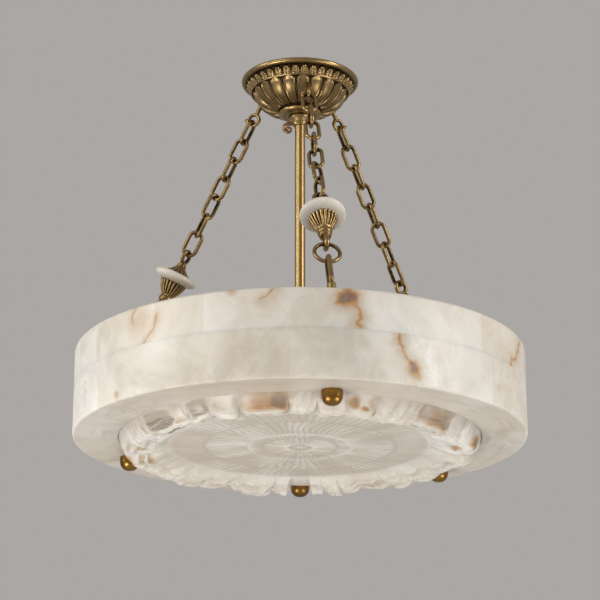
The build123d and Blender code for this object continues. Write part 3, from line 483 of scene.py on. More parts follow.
def brass_patina_and_shade_group():
    """Aged brass: dark in the hollows from patina and painted shade, worn bright on the high places, with a
    mottled bloom.
    """
    bright, dark = (0.6, 0.42, 0.2, 1), (0.12, 0.08, 0.04, 1)
    add, given = effect_group(
        "aged brass patina and painted shade",
        {"Painted_shade": 0.0, "Bright": bright, "Dark": dark, "Bloom": 0.5, "Polish": 0.3},
    )
    where = given["Place"]
    mottle = add.span(add.noise(where, 55.0, 5.0, 0.6), 0.40, 0.70)
    speck = add.span(add.noise(where, 260.0, 3.0, 0.6), 0.52, 0.75)
    bloom = add.plus(add.times(mottle, 0.75), add.times(speck, 0.25))
    # Darkening: patina bloom, plus patina and painted shade in the hollows
    worn = add.maths("ADD", given["Painted_shade"], add.times(bloom, given["Bloom"]), clamp=True)
    colour = add.mixed(worn, given["Bright"], given["Dark"])
    rough = add.plus(given["Polish"], add.times(worn, 0.22))
    height = add.plus(mottle, add.times(speck, 0.3))
    return finish_group(add.tree, colour, rough, height)


STONE_BODY = stone_body_group()
BRASS_PATINA_AND_SHADE = brass_patina_and_shade_group()


def finish_sheet(name):
    """New material with its wiring, its surface shader and the piece's own coordinates."""
    material = bpy.data.materials.new(name)
    material.use_nodes = True
    add = Wiring(material.node_tree)
    where = add.node("ShaderNodeTexCoord").outputs["Object"]
    return material, add, material.node_tree.nodes["Principled BSDF"], where


def worn_finish(name, effect_tree, values, masks, grain, depth):
    """Material that takes its colour, roughness and grain from a node group; returns its shader too."""
    material, add, shader, where = finish_sheet(name)
    inputs = {"Place": where, **values}
    for label in masks:
        inputs[label] = add.node("ShaderNodeAttribute", attribute_name=label.lower()).outputs["Fac"]
    effect = add.node("ShaderNodeGroup", inputs, node_tree=effect_tree).outputs
    bump = add.node("ShaderNodeBump", {"Strength": grain, "Distance": depth, "Height": effect["Height"]})
    add.tree.links.new(effect["Color"], shader.inputs["Base Color"])
    add.tree.links.new(effect["Roughness"], shader.inputs["Roughness"])
    add.tree.links.new(bump.outputs["Normal"], shader.inputs["Normal"])
    return material, shader


def alabaster(name, masks):
    material, shader = worn_finish(name, STONE_BODY, {}, masks, 0.15, 0.0004)
    shader.inputs["Subsurface Weight"].default_value = 0.25
    shader.inputs["Subsurface Radius"].default_value = (0.012, 0.009, 0.006)
    shader.inputs["Subsurface Scale"].default_value = 1.0
    shader.inputs["Coat Weight"].default_value = 0.12
    shader.inputs["Coat Roughness"].default_value = 0.25
    return material


def patinated(name, bright, dark, bloom, polish, grain=0.05, metal=1.0, masks=("Painted_shade",)):
    """Brass or another finish in two tones, mottled, and dark in the hollows, from patina and painted
    shade, if its piece marks them.
    """
    values = {"Bright": (*bright, 1), "Dark": (*dark, 1), "Bloom": bloom, "Polish": polish}
    material, shader = worn_finish(name, BRASS_PATINA_AND_SHADE, values, masks, grain, 0.0002)
    shader.inputs["Metallic"].default_value = metal
    return material


# Masks of the stone: block tone, rust, smoke, and painted shade in its hollows and under sides
STAINED = ("Tone", "Stain", "Smoke", "Painted_shade")
DRUM_STONE = alabaster("drum alabaster", STAINED)
CARVED_STONE = alabaster("carved alabaster", STAINED)
BEAD_STONE = alabaster("bead alabaster", ("Tone", "Painted_shade"))
CAST_BRASS = patinated("cast brass", (0.40, 0.275, 0.12), (0.03, 0.019, 0.009), 0.30, 0.28)
WIRE_BRASS = patinated("wire brass", (0.37, 0.245, 0.10), (0.022, 0.014, 0.007), 0.50, 0.28, 0.01)
TURNED_BRASS = patinated("turned brass", (0.44, 0.30, 0.13), (0.03, 0.019, 0.009), 0.20, 0.28)
ROD_BRASS = patinated("rod brass", (0.39, 0.267, 0.112), (0.13, 0.085, 0.037), 0.16, 0.29, 0.002)
FINIAL_BRASS = patinated("finial brass", (0.36, 0.195, 0.046), (0.02, 0.011, 0.004), 0.70, 0.22)


# Stone drum

WALL_COLUMNS = 960
WALL_SPACING = 1.7
# Rust veins on the wall: (azimuth, level, width) along each run
WALL_VEINS = [
    [(8.6, -351.5, 4.5), (9.6, -349.5, 8.0), (10.8, -348.0, 10.5), (12.0, -348.5, 9.0)],
    [(12.0, -348.5, 9.0), (13.2, -348.4, 5.0)],
    [(11.1, -355.6, 3.0), (12.5, -356.1, 2.4), (13.8, -360.4, 2.6), (14.4, -367.7, 3.0)],
    [(14.4, -367.7, 3.0), (13.4, -372.7, 2.6), (14.0, -379.5, 2.8)],
    [(23.6, -380.5, 3.2), (23.2, -387.4, 3.4), (24.3, -391.5, 2.6), (24.2, -398.1, 2.8)],
    [(24.2, -398.1, 2.8), (25.2, -403.2, 2.2), (26.2, -407.5, 3.6), (27.0, -412.0, 7.5)],
    [(27.0, -412.0, 7.5), (27.6, -417.0, 9.0)],
    [(72.0, -340.5, 3.2), (69.6, -355.6, 3.4), (67.2, -368.5, 3.6), (63.8, -371.5, 3.0)],
    [(63.8, -371.5, 3.0), (62.7, -379.7, 3.4)],
    [(-35.9, -354.8, 3.2), (-36.7, -364.4, 2.6), (-38.2, -371.4, 2.6), (-39.6, -379.4, 2.8)],
    [(-43.4, -339.0, 2.2), (-44.0, -349.0, 2.4), (-43.6, -357.0, 2.0)],
    [(-5.9, -337.5, 2.8), (-7.4, -344.3, 2.4), (-9.0, -351.0, 2.4)],
    [(118.0, -339.0, 3.0), (120.5, -352.0, 2.6), (119.5, -366.0, 4.0), (122.0, -379.0, 2.8)],
    [(163.0, -381.0, 3.0), (165.0, -392.0, 6.5), (166.5, -404.0, 3.0), (170.0, -417.0, 2.6)],
    [(206.0, -338.0, 3.0), (209.0, -350.0, 7.5), (207.5, -363.0, 3.2)],
    [(243.0, -383.0, 2.8), (246.0, -398.0, 2.8), (244.0, -412.0, 4.5), (247.0, -428.0, 2.6)],
    [(268.0, -340.0, 2.6), (271.0, -356.0, 2.6), (270.0, -372.0, 3.4)],
]
# Fainter rust: (azimuth, level, reach, strength)
WALL_BLUSHES = [
    (-41.0, -354.0, 22.0, 0.42),
    (-16.0, -338.5, 6.0, 0.55),
    (-49.2, -427.0, 6.0, 0.62),
    (56.6, -412.0, 9.0, 0.34),
    (-70.0, -352.0, 14.0, 0.30),
    (-8.0, -345.0, 18.0, 0.30),
    (11.0, -352.0, 24.0, 0.31),
    (26.0, -408.0, 22.0, 0.29),
    (-15.5, -402.0, 24.0, 0.31),
    (66.0, -365.0, 18.0, 0.28),
    (120.0, -358.0, 24.0, 0.30),
    (165.0, -395.0, 24.0, 0.30),
    (208.0, -350.0, 24.0, 0.30),
    (245.0, -405.0, 24.0, 0.26),
]

# Tone of each block of the two courses (-1 beige, 1 white), from the seam at the left of the front
UPPER_SEAM, LOWER_SEAM = -23.0, -30.0
UPPER_TONES = [0.3, 0.7, -0.7, 0.8, 0.0, 0.9, -0.4, 0.6, 0.9, -0.7]
LOWER_TONES = [-0.9, -0.3, 0.7, -0.7, 0.9, -0.1, 0.6, -0.6, 0.8, 0.1, -0.5, 0.8, -0.4]


def angle_between(first, second):
    return (np.asarray(first) - second + 180.0) % 360.0 - 180.0


def rust_on(azimuth, height, course):
    """Strength of rust at places on one course of the wall, from the veins and blushes above."""
    azimuth, height = np.broadcast_arrays(azimuth, height)
    rust = np.zeros(azimuth.shape)
    per_degree = math.radians(1.0) * DRUM_RADIUS
    round_wall = azimuth * per_degree

    def stray(coarse_seed, fine_seed):
        coarse = wander(coarse_seed, round_wall / 13, height / 13)
        return 3.2 * coarse + 1.6 * wander(fine_seed, round_wall / 5, height / 5)

    across = azimuth + stray(61, 62) / per_degree
    up = height + stray(63, 64)
    for vein in WALL_VEINS:
        if not course[0] < vein[0][1] < course[1]:
            continue
        for (start, low, thin), (end, high, thick) in zip(vein, vein[1:]):
            run = np.array([angle_between(end, start) * per_degree, high - low])
            dx = angle_between(across, start) * per_degree
            dz = up - low
            t = np.clip((dx * run[0] + dz * run[1]) / np.dot(run, run), 0, 1)
            away = np.hypot(dx - t * run[0], dz - t * run[1])
            width = thin + (thick - thin) * t
            core = (0.63 + 0.068 * width) * np.exp(-((away / (width * (0.98 + 0.01 * width))) ** 1.5))
            halo = (0.40 + 0.012 * width) * fade(away, width + 8.0)
            rust = np.maximum(rust, np.maximum(core, halo))
    for middle, level, reach, strength in WALL_BLUSHES:
        away = np.hypot(angle_between(across, middle) * per_degree, up - level)
        rust = np.maximum(rust, strength * fade(away, reach))
    return rust


def stone_course(name, profile, tones, seam):
    """One course of the drum: blocks of several tones, bonded end to end from a seam."""
    profile = stretch(profile, WALL_SPACING)
    blocks = len(tones)
    steps = round(WALL_COLUMNS / blocks)
    azimuths = seam + np.arange(blocks * steps) * 360.0 / (blocks * steps)
    ways = np.array([outward(a) for a in azimuths])
    points = ways[None, :, :] * profile[:, None, :1] + np.array([0, 0, 1.0]) * profile[:, None, 1:]
    levels = profile[:, 1:]
    rust = rust_on(azimuths, levels, (levels.min(), levels.max()))
    under = (levels < DRUM_BOTTOM + 0.6) * (profile[:, :1] < DRUM_RADIUS - 2.5) * np.ones(len(azimuths))
    streak = wander(71, azimuths / 8.0, profile[:, :1] / 4.0, 45)
    rust = np.maximum(rust, 0.34 * under * smooth(0.0, 0.9, streak))
    tone = np.broadcast_to(np.repeat(tones, steps), (len(profile), len(azimuths)))
    # Painted shade on the ledge's under side, stronger towards the front
    front = fade(angle_between(azimuths, -8.0), 40.0)
    shell = skin(points, under * (0.42 + 0.26 * front), wrap_rows=True)
    masks, face_masks = {"stain": rust}, {"tone": tone}
    piece(f"{name}_stone", shell, DRUM_STONE, FIXED, (name,), 50.0, masks, face_masks)


def drum():
    outer, inner = DRUM_RADIUS, WALL_INNER_RADIUS
    upper = [(outer, SEAM_LEVEL), (outer, DRUM_TOP), (inner, DRUM_TOP), (inner, SEAM_LEVEL)]
    lower = [(inner, SEAM_LEVEL), (inner, LEDGE_TOP), (OPENING_RADIUS, LEDGE_TOP)]
    lower += [(OPENING_RADIUS, DRUM_BOTTOM), (outer, DRUM_BOTTOM), (outer, SEAM_LEVEL)]
    stone_course("drum_upper_course", rounded(upper, 4.0), UPPER_TONES, UPPER_SEAM)
    stone_course("drum_lower_course", rounded(lower, [2.6, 2.6, 0.5, 2.6], 2), LOWER_TONES, LOWER_SEAM)


# Carved dish

FRILL_INNER = 144.0
FRILL_CREST = 186.0
FRILL_LOW = -454.6
FRILL_TOP = DRUM_BOTTOM + 0.5
LUMP_DEPTH = 4.4
DISC_LEVEL = -439.0
DISH_COLUMNS = 1260
# Petals at the front, from left to right: (width in degrees, drop, push out, lean, pleats)
FRONT_START = -61.0
FRONT_PETALS = [
    (23.0, 0.86, 0.0, 0.3, 1),
    (8.5, 0.70, -1.5, 0.7, 1),
    (10.0, 0.92, 0.5, -0.7, 1),
    (16.0, 0.80, 0.5, -0.2, 1),
    (9.0, 0.70, -0.5, 0.0, 3),
    (10.0, 0.86, 0.0, 0.4, 2),
    (8.5, 0.94, -0.5, -0.5, 1),
    (16.5, 1.00, 0.5, 0.3, 4),
    (15.5, 0.88, 0.0, -0.3, 1),
]
BACK_PETALS = 23
NOTCH_HALF_ANGLE = 3.4
NOTCH_EASE = 1.3
FINIAL_POCKET_RADIUS = FINIAL_RADIUS + 1.0
# Stretches of the frill that hang less deep, next to the finials: (azimuth, reach, rise)
SHALLOW_LIPS = [(-97.0, 13.0, 4.2), (114.0, 10.0, 4.0)]
# Dark inclusions in the frill, scooped out: (azimuth, level, reach along, reach up, smoke, rust)
SCOOP_DEPTH = 1.6
FRILL_INCLUSIONS = [
    (-51.0, -443.0, 27.0, 10.5, 1.30, 0.0),
    (-41.0, -449.0, 10.0, 4.0, 0.0, 0.70),
    (-33.5, -440.0, 12.0, 8.0, 0.95, 0.50),
    (-25.0, -440.0, 15.0, 9.0, 0.46, 0.40),
    (-12.0, -441.0, 31.0, 12.0, 0.34, 0.76),
    (-6.0, -440.0, 13.0, 9.0, 0.25, 1.20),
    (17.5, -440.0, 7.0, 6.0, 0.0, 0.90),
    (24.0, -440.0, 6.0, 8.0, 0.0, 0.62),
    (21.0, -446.5, 8.0, 3.0, 0.0, 0.85),
    (47.0, -441.5, 26.0, 12.0, 0.50, 0.90),
    (53.5, -442.0, 9.0, 10.0, 0.60, 1.30),
    (80.0, -443.0, 15.0, 9.0, 0.25, 1.05),
    (-80.0, -448.0, 14.0, 4.0, 0.0, 0.56),
    (104.0, -443.0, 12.0, 7.0, 0.0, 0.66),
    (152.0, -443.0, 18.0, 10.0, 0.80, 0.60),
    (212.0, -442.0, 14.0, 8.0, 0.0, 0.74),
    (258.0, -445.0, 16.0, 3.5, 0.0, 0.85),
]


def carved_disc_relief(radius, azimuths):
    """Fine rays cut in the dish's middle, parted by two rings and an eye."""
    turn = azimuths / 360.0
    relief = np.zeros(np.broadcast(radius, azimuths).shape)
    bands = ((12.0, 40.0, 40, 1.0), (40.0, 57.0, 58, 0.8), (57.0, 104.0, 66, 1.0), (104.0, 150.0, 92, 0.8))
    for start, end, rays, depth in bands:
        sway = 0.5 * wander(31 + rays, turn * 24, radius / 26.0, 24)
        sway = sway + 0.18 * wander(32 + rays, turn * 72, radius / 12.0, 72)
        ray = np.abs(np.sin(math.pi * (turn * rays + sway)))
        fine = np.abs(np.sin(math.pi * (turn * rays * 3 + 2.3 * sway)))
        strength = 0.70 + 0.30 * wander(33 + rays, turn * 40, radius / 30.0, 40)
        inside = smooth(start, start + 5, radius) * (1 - smooth(end - 3, end + 4, radius))
        relief = relief + inside * depth * strength * (ray**0.8 * 0.68 + fine * 0.32)
    for ring, width, depth in ((15.0, 2.2, 0.9), (57.5, 2.6, 0.9), (7.0, 1.6, 0.8)):
        broken = 0.62 + 0.38 * wander(35, turn * 18, ring, 18)
        off = ring + 1.6 * wander(36, turn * 26, ring, 26)
        relief = relief + depth * broken * fade(radius - off, width)
    return relief


def ridges(seed, x, y, period):
    """Crests between smooth hollows, from 0 in a hollow to 1 on a crest."""
    return 1 - np.abs(wander(seed, x, y, period))


class Petals:
    """Uneven petals of the rim at given azimuths: how low, how far out and how creased each place is."""

    def __init__(self, azimuths):
        draw = np.random.default_rng(6)
        front = np.array(FRONT_PETALS, float)
        limits = ((0.6, 1.5), (0.62, 1.0), (-3.0, 1.0), (-0.8, 0.8))
        back = [draw.uniform(least, most, BACK_PETALS) for least, most in limits]
        back = np.column_stack([*back, draw.choice([1, 1, 1, 2, 4], BACK_PETALS)])
        back[:, 0] *= (360.0 - front[:, 0].sum()) / back[:, 0].sum()
        widths, drop, push, lean, pleats = np.concatenate([front, back]).T
        edges = np.concatenate([[0.0], np.cumsum(widths)])
        spot = np.mod(np.asarray(azimuths) - FRONT_START, 360.0)
        number = np.clip(np.searchsorted(edges, spot, side="right") - 1, 0, len(widths) - 1)
        across = (spot - edges[number]) / widths[number] * 2 - 1
        self.drop, self.push = drop[number], push[number]
        self.tilt = lean[number] * across * (1 - across**8)
        self.crown = 1 - np.abs(across + 0.45 * lean[number] * (1 - across**2)) ** 3.0
        folds = np.abs(np.sin(math.pi * pleats[number] * (across + 1) / 2)) ** 0.6
        self.pleat = np.where(pleats[number] > 1, folds, self.crown)


def finial_pockets(azimuths):
    """How far out the frill may reach at given azimuths, so that it clears the finials."""
    reach = np.full(len(azimuths), DISH_RADIUS)
    for stud in (*SIDES.values(), REAR_AZIMUTH):
        turn = np.radians(angle_between(azimuths, stud))
        aside = np.minimum(np.abs(STUD_CIRCLE * np.sin(turn)), FINIAL_POCKET_RADIUS)
        edge = STUD_CIRCLE * np.cos(turn) - np.sqrt(FINIAL_POCKET_RADIUS**2 - aside**2)
        near = (aside < FINIAL_POCKET_RADIUS) & (np.abs(turn) < 1.0)
        reach = np.where(near, np.minimum(reach, edge), reach)
    return reach


def disc_rings(azimuths, ways):
    """Rings of the dish's middle, from its eye out to the frill, and the painted shade of their grooves."""
    rows, painted_shade = [], []
    for radius in np.concatenate([[0.6, 3.0, 5.0], np.linspace(7.0, FRILL_INNER - 5.0, 60)]):
        relief = carved_disc_relief(radius, azimuths)
        lift = 1.4 * (1 - smooth(10, 140, radius))
        rows.append(ring_row(ways, radius, DISC_LEVEL - lift - relief * smooth(2, 6, radius)))
        # Painted shade in the grooves of the rays, a little less towards the frill
        groove_shade = np.clip(1.45 - 2.0 * relief, 0, 1) * smooth(2, 6, radius)
        painted_shade.append(groove_shade * (1.0 - 0.1 * smooth(60, 135, radius)))
    return rows, painted_shade


def frill_stains(points, azimuths, low):
    """Rust and smoke of the inclusions on the frill's outer side, above its lowest edge."""
    stain, smoke = np.zeros(points.shape[:2]), np.zeros(points.shape[:2])
    turn, levels = azimuths / 360.0, points[..., 2]
    rim = smooth(160.0, 174.0, np.hypot(points[..., 0], points[..., 1])) * smooth(-0.3, 1.6, levels - low)
    level = levels + 3.4 * wander(56, turn * 90, levels / 6.0, 90)
    shift = 8.0 * wander(58, turn * 60, levels / 8.0, 60)
    for azimuth, height, reach, rise, dark, rust in FRILL_INCLUSIONS:
        along = angle_between(azimuths, azimuth) * math.radians(DISH_RADIUS) + shift
        near = rim * np.exp(-(((along / reach) ** 2 + ((level - height) / rise) ** 2) ** 1.5))
        stain = np.maximum(stain, rust * near)
        smoke = np.maximum(smoke, dark * near)
    return stain, smoke


def carved_dish():
    azimuths = np.linspace(0, 360, DISH_COLUMNS, endpoint=False)
    turn = azimuths / 360.0
    ways = np.array([outward(a) for a in azimuths])
    lip = Petals(azimuths)
    aside = np.abs(angle_between(azimuths, REAR_AZIMUTH))
    notch = 1 - smooth(NOTCH_HALF_ANGLE, NOTCH_HALF_ANGLE + NOTCH_EASE, aside)
    pockets = finial_pockets(azimuths)
    away = smooth(50.0, 110.0, np.abs(angle_between(azimuths, 0.0)))
    jagged = 0.5 + 1.2 * away
    low = DISC_LEVEL + (FRILL_LOW - DISC_LEVEL) * lip.drop * (0.72 + 0.28 * lip.crown)
    low = low + 1.0 * (1 - lip.pleat) + jagged * np.abs(wander(41, turn * 110, 0.0, 110)) + 3.6 * lip.tilt
    for azimuth, reach, rise in SHALLOW_LIPS:
        low = low + rise * fade(angle_between(azimuths, azimuth), reach)
    low = np.clip(low, FRILL_LOW, DISC_LEVEL - 3.0) * (1 - notch) + (DISC_LEVEL - 0.8) * notch
    bulge = lip.push - 2.2 * (1 - lip.crown) - 0.8 * (1 - lip.pleat)
    sweep = (4.5 + 3.0 * away) * wander(54, turn * 21, 0.0, 21)
    rows, painted_shade = disc_rings(azimuths, ways)

    # Frill's under side, from the disc down to the lip
    for t in np.linspace(0.0, 1.0, 34):
        inner = FRILL_INNER + 3.0 * wander(44, turn * 30, 0.0, 30)
        radius = inner + (FRILL_CREST + bulge - inner) * t
        fall = 0.42 * float(smooth(0.0, 0.34, t)) + 0.58 * t**1.6
        level = DISC_LEVEL - 0.4 + (low - DISC_LEVEL) * fall
        lump = ridges(47, turn * 64, t * 3.4, 64) + 0.55 * ridges(48, turn * 150, t * 6.5, 150) - 0.95
        share = float(smooth(0.28, 0.55, t)) * (1 - float(smooth(0.90, 1.0, t)))
        level = np.clip(level - LUMP_DEPTH * share * lump * (1 - notch), FRILL_LOW, DISC_LEVEL + 2.0)
        radius = radius + 2.0 * wander(50, turn * 90, t * 4.0, 90) * share
        rows.append(ring_row(ways, radius, level))
        # Painted shade in the hollows between the lumps
        painted_shade.append(np.clip(0.22 - 0.9 * lump, 0, 0.8) * share)

    # Frill's outer side, from the lip up to the drum
    for t in np.linspace(0.0, 1.0, 24):
        level = low + (FRILL_TOP - low) * t
        full = math.sin(0.5 * math.pi * min(1.0, 0.06 + t * 1.5)) ** 0.55
        swell = full * away + (0.22 * float(smooth(0.0, 0.12, t)) + 0.78 * t**1.25) * (1 - away)
        edge = FRILL_CREST + 0.5 + bulge
        fold = Petals(azimuths + sweep * t)
        crown = 2.0 * (1 - fold.crown) * (0.4 + 0.6 * away) * (1 - t**4)
        radius = edge + (DISH_RADIUS - 0.2 + 0.6 * fold.push * (1 - t**4) - crown - edge) * swell
        crag = wander(52, turn * 60, t * 2.0, 60)
        relief = 0.5 * jagged * crag - 1.1 * (1 - fold.pleat) + 2.4 * fold.tilt * (1 - away)
        for azimuth, height, reach, rise, dark, _ in FRILL_INCLUSIONS:
            along = angle_between(azimuths, azimuth) * math.radians(DISH_RADIUS)
            scoop = np.exp(-((along / reach) ** 4) - ((level - height) / rise) ** 4)
            relief = relief - SCOOP_DEPTH * dark * scoop
        radius = radius + relief * math.sin(math.pi * (0.12 + 0.8 * t)) ** 0.5
        rows.append(ring_row(ways, np.minimum(radius, pockets), level))
        # Painted shade in the creases and on the upper outer side under the ledge, leaving the lips bright
        crease_shade = 0.42 * (1 - fold.pleat) + 0.42 * (1 - fold.crown) ** 2
        painted_shade.append(np.clip(crease_shade + 0.60 * smooth(0.25, 0.95, t), 0, 1))

    # Plain back, over the ledge
    back = [(DISH_RADIUS, DRUM_BOTTOM + 2), (DISH_RADIUS, LEDGE_TOP), (FLANGE_RADIUS, LEDGE_TOP)]
    back += [(radius, FLANGE_TOP) for radius in (FLANGE_RADIUS, 60.0, 0.6)]
    for radius, level in back:
        rows.append(ring_row(ways, radius, level))
        painted_shade.append(np.zeros(DISH_COLUMNS))

    points = np.array(rows)
    stain, smoke = frill_stains(points, azimuths, low)
    tone = 0.6 + 0.35 * np.broadcast_to(wander(53, turn * 14, 0.0, 14), points.shape[:2])
    shell = skin(points, np.array(painted_shade))
    masks = {"tone": tone, "stain": stain, "smoke": smoke}
    stands_for = ("carved_dish", "petal_border")
    piece("carved_dish_stone", shell, CARVED_STONE, FIXED, stands_for, 70.0, masks)


# Canopy and what hangs from it

TONGUES = 20
LEAVES = 36
CANOPY_COLUMNS = 720
CONE_TOP = np.array([56.3, -16.6])
CONE_SHARE = 0.13
SEGMENTS_PER_RIB = 8
RIM_CENTRE, RIM_SIZE = np.array([64.5, -3.0]), np.array([3.5, 3.0])
LEAF_TOP = np.array([61.9, -7.2])
LEAF_FOOT = np.array([57.4, -15.6])
BAND_BEAD = np.array([56.3, -16.4])
BAND_BEAD_RADIUS = 1.0
GROUND_DEPTH = 1.3
CANOPY_LOW = -40.0
CANOPY_BORE = 5.1
INNER_BOWL_RADIUS = 27.6
ROD_RADIUS = 6.0
ROD_TOP, ROD_FOOT = -53.0, -387.0


def canopy_leaf(across, rise):
    """Height of the leaf band at a place across one leaf (-1 to 1) and up it (0 foot to 1 tip)."""
    half = 0.84 * np.sqrt(np.clip(1 - rise**2.6, 0, 1)) * (1 + 0.10 * np.cos(rise * 21))
    inside = smooth(0.07, -0.12, np.abs(across) - half)
    vein = fade(across, 0.11)
    lobes = 0.5 + 0.5 * np.cos(rise * 21 - 5 * np.abs(across))
    dart = fade(1 - np.abs(across), 0.12) * (1 - smooth(0.3, 0.8, rise))
    curl = 0.75 + 0.95 * smooth(0.30, 0.85, rise)
    return inside * (1.25 + 0.45 * lobes - 0.55 * vein) * curl + 0.9 * dart * (1 - inside)


def canopy_tongue(across, fall):
    """Height of the fluted bowl at a place across one tongue (-1 to 1) and down it (0 to 1)."""
    half = 0.76 * np.sqrt(np.clip(smooth(-0.03, 0.16, fall), 0, 1)) * (1 - 0.10 * fall)
    away = np.abs(across) - half
    rim = fade(away, 0.09) * smooth(0.0, 0.08, fall)
    inside = smooth(0.02, -0.12, away) * (0.45 + 0.25 * np.clip(1 - (across / 0.62) ** 2, 0, 1))
    dart = fade(1 - np.abs(across), 0.09) * smooth(0.12, 0.3, fall)
    return (1.5 * rim + 1.0 * inside + 0.5 * dart) * (1 - 0.35 * fall)


def bowl_at(fall):
    """Point of the bowl's side (radius, level) and the way it faces, from the leaf band (0) down (1)."""
    start = math.radians(BOWL_START)
    round_top = BOWL_CENTRE + BOWL_RADIUS * polar(start)
    if fall < CONE_SHARE:
        t = fall / CONE_SHARE
        return CONE_TOP + (round_top - CONE_TOP) * t, polar(start + math.radians(8.0) * (1 - t))
    way = polar(start + (-math.pi / 2 - start) * (fall - CONE_SHARE) / (1 - CONE_SHARE))
    return BOWL_CENTRE + BOWL_RADIUS * way, way


def canopy():
    azimuths = np.linspace(0, 360, CANOPY_COLUMNS, endpoint=False)
    ways = np.array([outward(a) for a in azimuths])
    leaf = np.mod(azimuths * LEAVES / 360.0, 1.0) * 2 - 1
    tongue = np.mod(azimuths * TONGUES / 360.0 + 0.28, 1.0) * 2 - 1
    rows, painted_shade = [], []

    # Each ring's dark share is painted shade under the rim, beads and bowl and inside, with patina too in
    # the ground of the leaves and tongues
    def ring(radius, level, carve=0.0, out_r=0.0, out_z=0.0, dark=0.0):
        rows.append(ring_row(ways, radius + carve * out_r, level + carve * out_z))
        painted_shade.append(np.clip(dark + 0 * azimuths, 0, 1))

    ring(63.5, 0.0, dark=0.6)
    for angle in np.linspace(90, -90, 15):
        spot = RIM_CENTRE + RIM_SIZE * polar(math.radians(angle))
        ring(*spot, dark=0.35 * smooth(-40, -90, angle))
    ring(63.0, -6.2, dark=0.9)
    slope = LEAF_TOP - LEAF_FOOT
    out = np.array([slope[1], -slope[0]]) / np.linalg.norm(slope)
    for rise in np.linspace(1.0, 0.0, 34):
        spot = LEAF_FOOT + slope * rise
        carve = canopy_leaf(leaf, rise)
        # Painted shade with patina in the ground between the leaves
        dark = 0.95 - 0.95 * smooth(0.3, 1.3, carve)
        ring(spot[0] - GROUND_DEPTH, spot[1] + 0.5, carve, out[0], out[1], dark)
    for angle in np.linspace(150, -70, 7):
        spot = BAND_BEAD + BAND_BEAD_RADIUS * polar(math.radians(angle))
        ring(*spot, dark=0.5 * smooth(40, 140, abs(angle)))
    for fall in np.linspace(0.0, 1.0, 56):
        spot, way = bowl_at(fall)
        carve = canopy_tongue(tongue, fall) * (1 - smooth(0.96, 1.0, fall))
        # Painted shade with patina in the grooves between the tongues
        ring(*(spot - GROUND_DEPTH * way), carve, way[0], way[1], 1.0 - 0.9 * smooth(0.12, 0.75, carve))
    # Painted shade on the under side and inside of the canopy
    ring(24.0, CANOPY_LOW, dark=0.9)
    ring(CANOPY_BORE, CANOPY_LOW, dark=0.6)
    ring(CANOPY_BORE, CANOPY_LOW + 2.5, dark=0.6)
    for fall in np.linspace(1.0, 0.0, 12):
        angle = math.radians(BOWL_START + (-90 - BOWL_START) * fall)
        ring(*(BOWL_CENTRE + INNER_BOWL_RADIUS * polar(angle)), dark=0.7)
    ring(58.0, -7.5, dark=0.7)
    ring(63.5, -3.5, dark=0.7)
    shell = skin(np.array(rows), np.array(painted_shade), wrap_rows=True)
    piece("canopy_casting", shell, CAST_BRASS, FIXED, ("canopy",), 60.0)


def wire_piece(name, shell, stands_for):
    """Piece of dark brass wire that stands still."""
    piece(name, shell, WIRE_BRASS, FIXED, (stands_for,))


def neck_and_rod():
    middle, size = np.array([22.6, -42.4]), np.array([2.4, 2.35])
    collar = [(5.2, -40.05)]
    collar += [middle + size * polar(math.radians(angle)) for angle in np.linspace(90, -80, 15)]
    collar += [(20.0, -45.0), (17.5, -44.8), (16.2, -45.3), (15.0, -45.95), (13.4, -46.0), (5.2, -46.0)]
    # Painted shade at the collar's joints with the canopy and the neck
    dark = [0.8, 0.6] + [0.0] * 14 + [0.15, 0.55, 0.25, 0.1, 0.7, 0.9]
    shell = turned(collar, LAMP_AXIS, 72, dark)
    piece("collar_ring", shell, TURNED_BRASS, "canopy_collar_nut", ("canopy_collar",))
    neck = [(6.3, -46.05), (11.8, -46.05), (12.4, -47.6), (11.2, -50.4), (9.0, -54.2), (8.2, -57.0)]
    neck = rounded(neck + [(7.6, -58.0), (6.2, -58.0)], 2.0, 6)
    piece("rod_neck_cup", turned(neck, LAMP_AXIS, 64), TURNED_BRASS, FIXED, ("rod_neck",))
    rod = [(0.5, ROD_TOP)] + [(ROD_RADIUS, level) for level in (ROD_TOP, -120.0, -250.0, ROD_FOOT)]
    rod += [(3.5, ROD_FOOT), (0.5, ROD_FOOT + 1.0)]
    shell = turned(rod, LAMP_AXIS, 64)
    piece("centre_rod_tube", shell, ROD_BRASS, FIXED, ("centre_rod",))


def scroll():
    """Curl on the neck: out, down and round into a spiral that ends in a small bead."""
    reach, root_level = -13.5, -54.7
    first, second, inner = 5.2, 2.9, 1.6
    root = np.array([[-6.5, 0.0, root_level], [-10.0, 0.0, root_level]])
    bends = []
    for middle, radius, start in (
        (root_level - first, first, 90),
        (root_level - 2 * first + second, second, 270),
        (root_level - 2 * first + 2 * second - inner, inner, 450),
    ):
        turn = np.radians(np.linspace(start, start + 170, 16))
        across, up = reach + radius * np.cos(turn), middle + radius * np.sin(turn)
        bends.append(np.column_stack([across, 0 * turn, up]))
    path = np.concatenate([root, *bends])
    taper = np.linspace(2.1, 1.35, 44)
    radius = np.concatenate([[2.1, 2.1], taper, [1.35, 1.15, 0.8, 0.3]])
    wire_piece("scroll_curl", tube(path, radius), "scroll_hook")


def hook_tip(place, azimuth, height, size):
    """Open end of a hooked link: the wire leaves the link's near side and curls out from the lamp."""
    turn = np.linspace(0, 2.3, 14)
    near = -math.copysign((LINK_WIDTH - LINK_WIRE) / 2, place.across[1])
    out = math.copysign(size, np.dot(place.square, outward(azimuth)))
    along = height + size * 1.25 * np.sin(turn)
    radius = np.concatenate([np.full(11, LINK_WIRE / 2 * 0.92), [1.9, 1.6, 0.7]])
    return tube(place.points(near, out * (1 - np.cos(turn)), along), radius, 12)


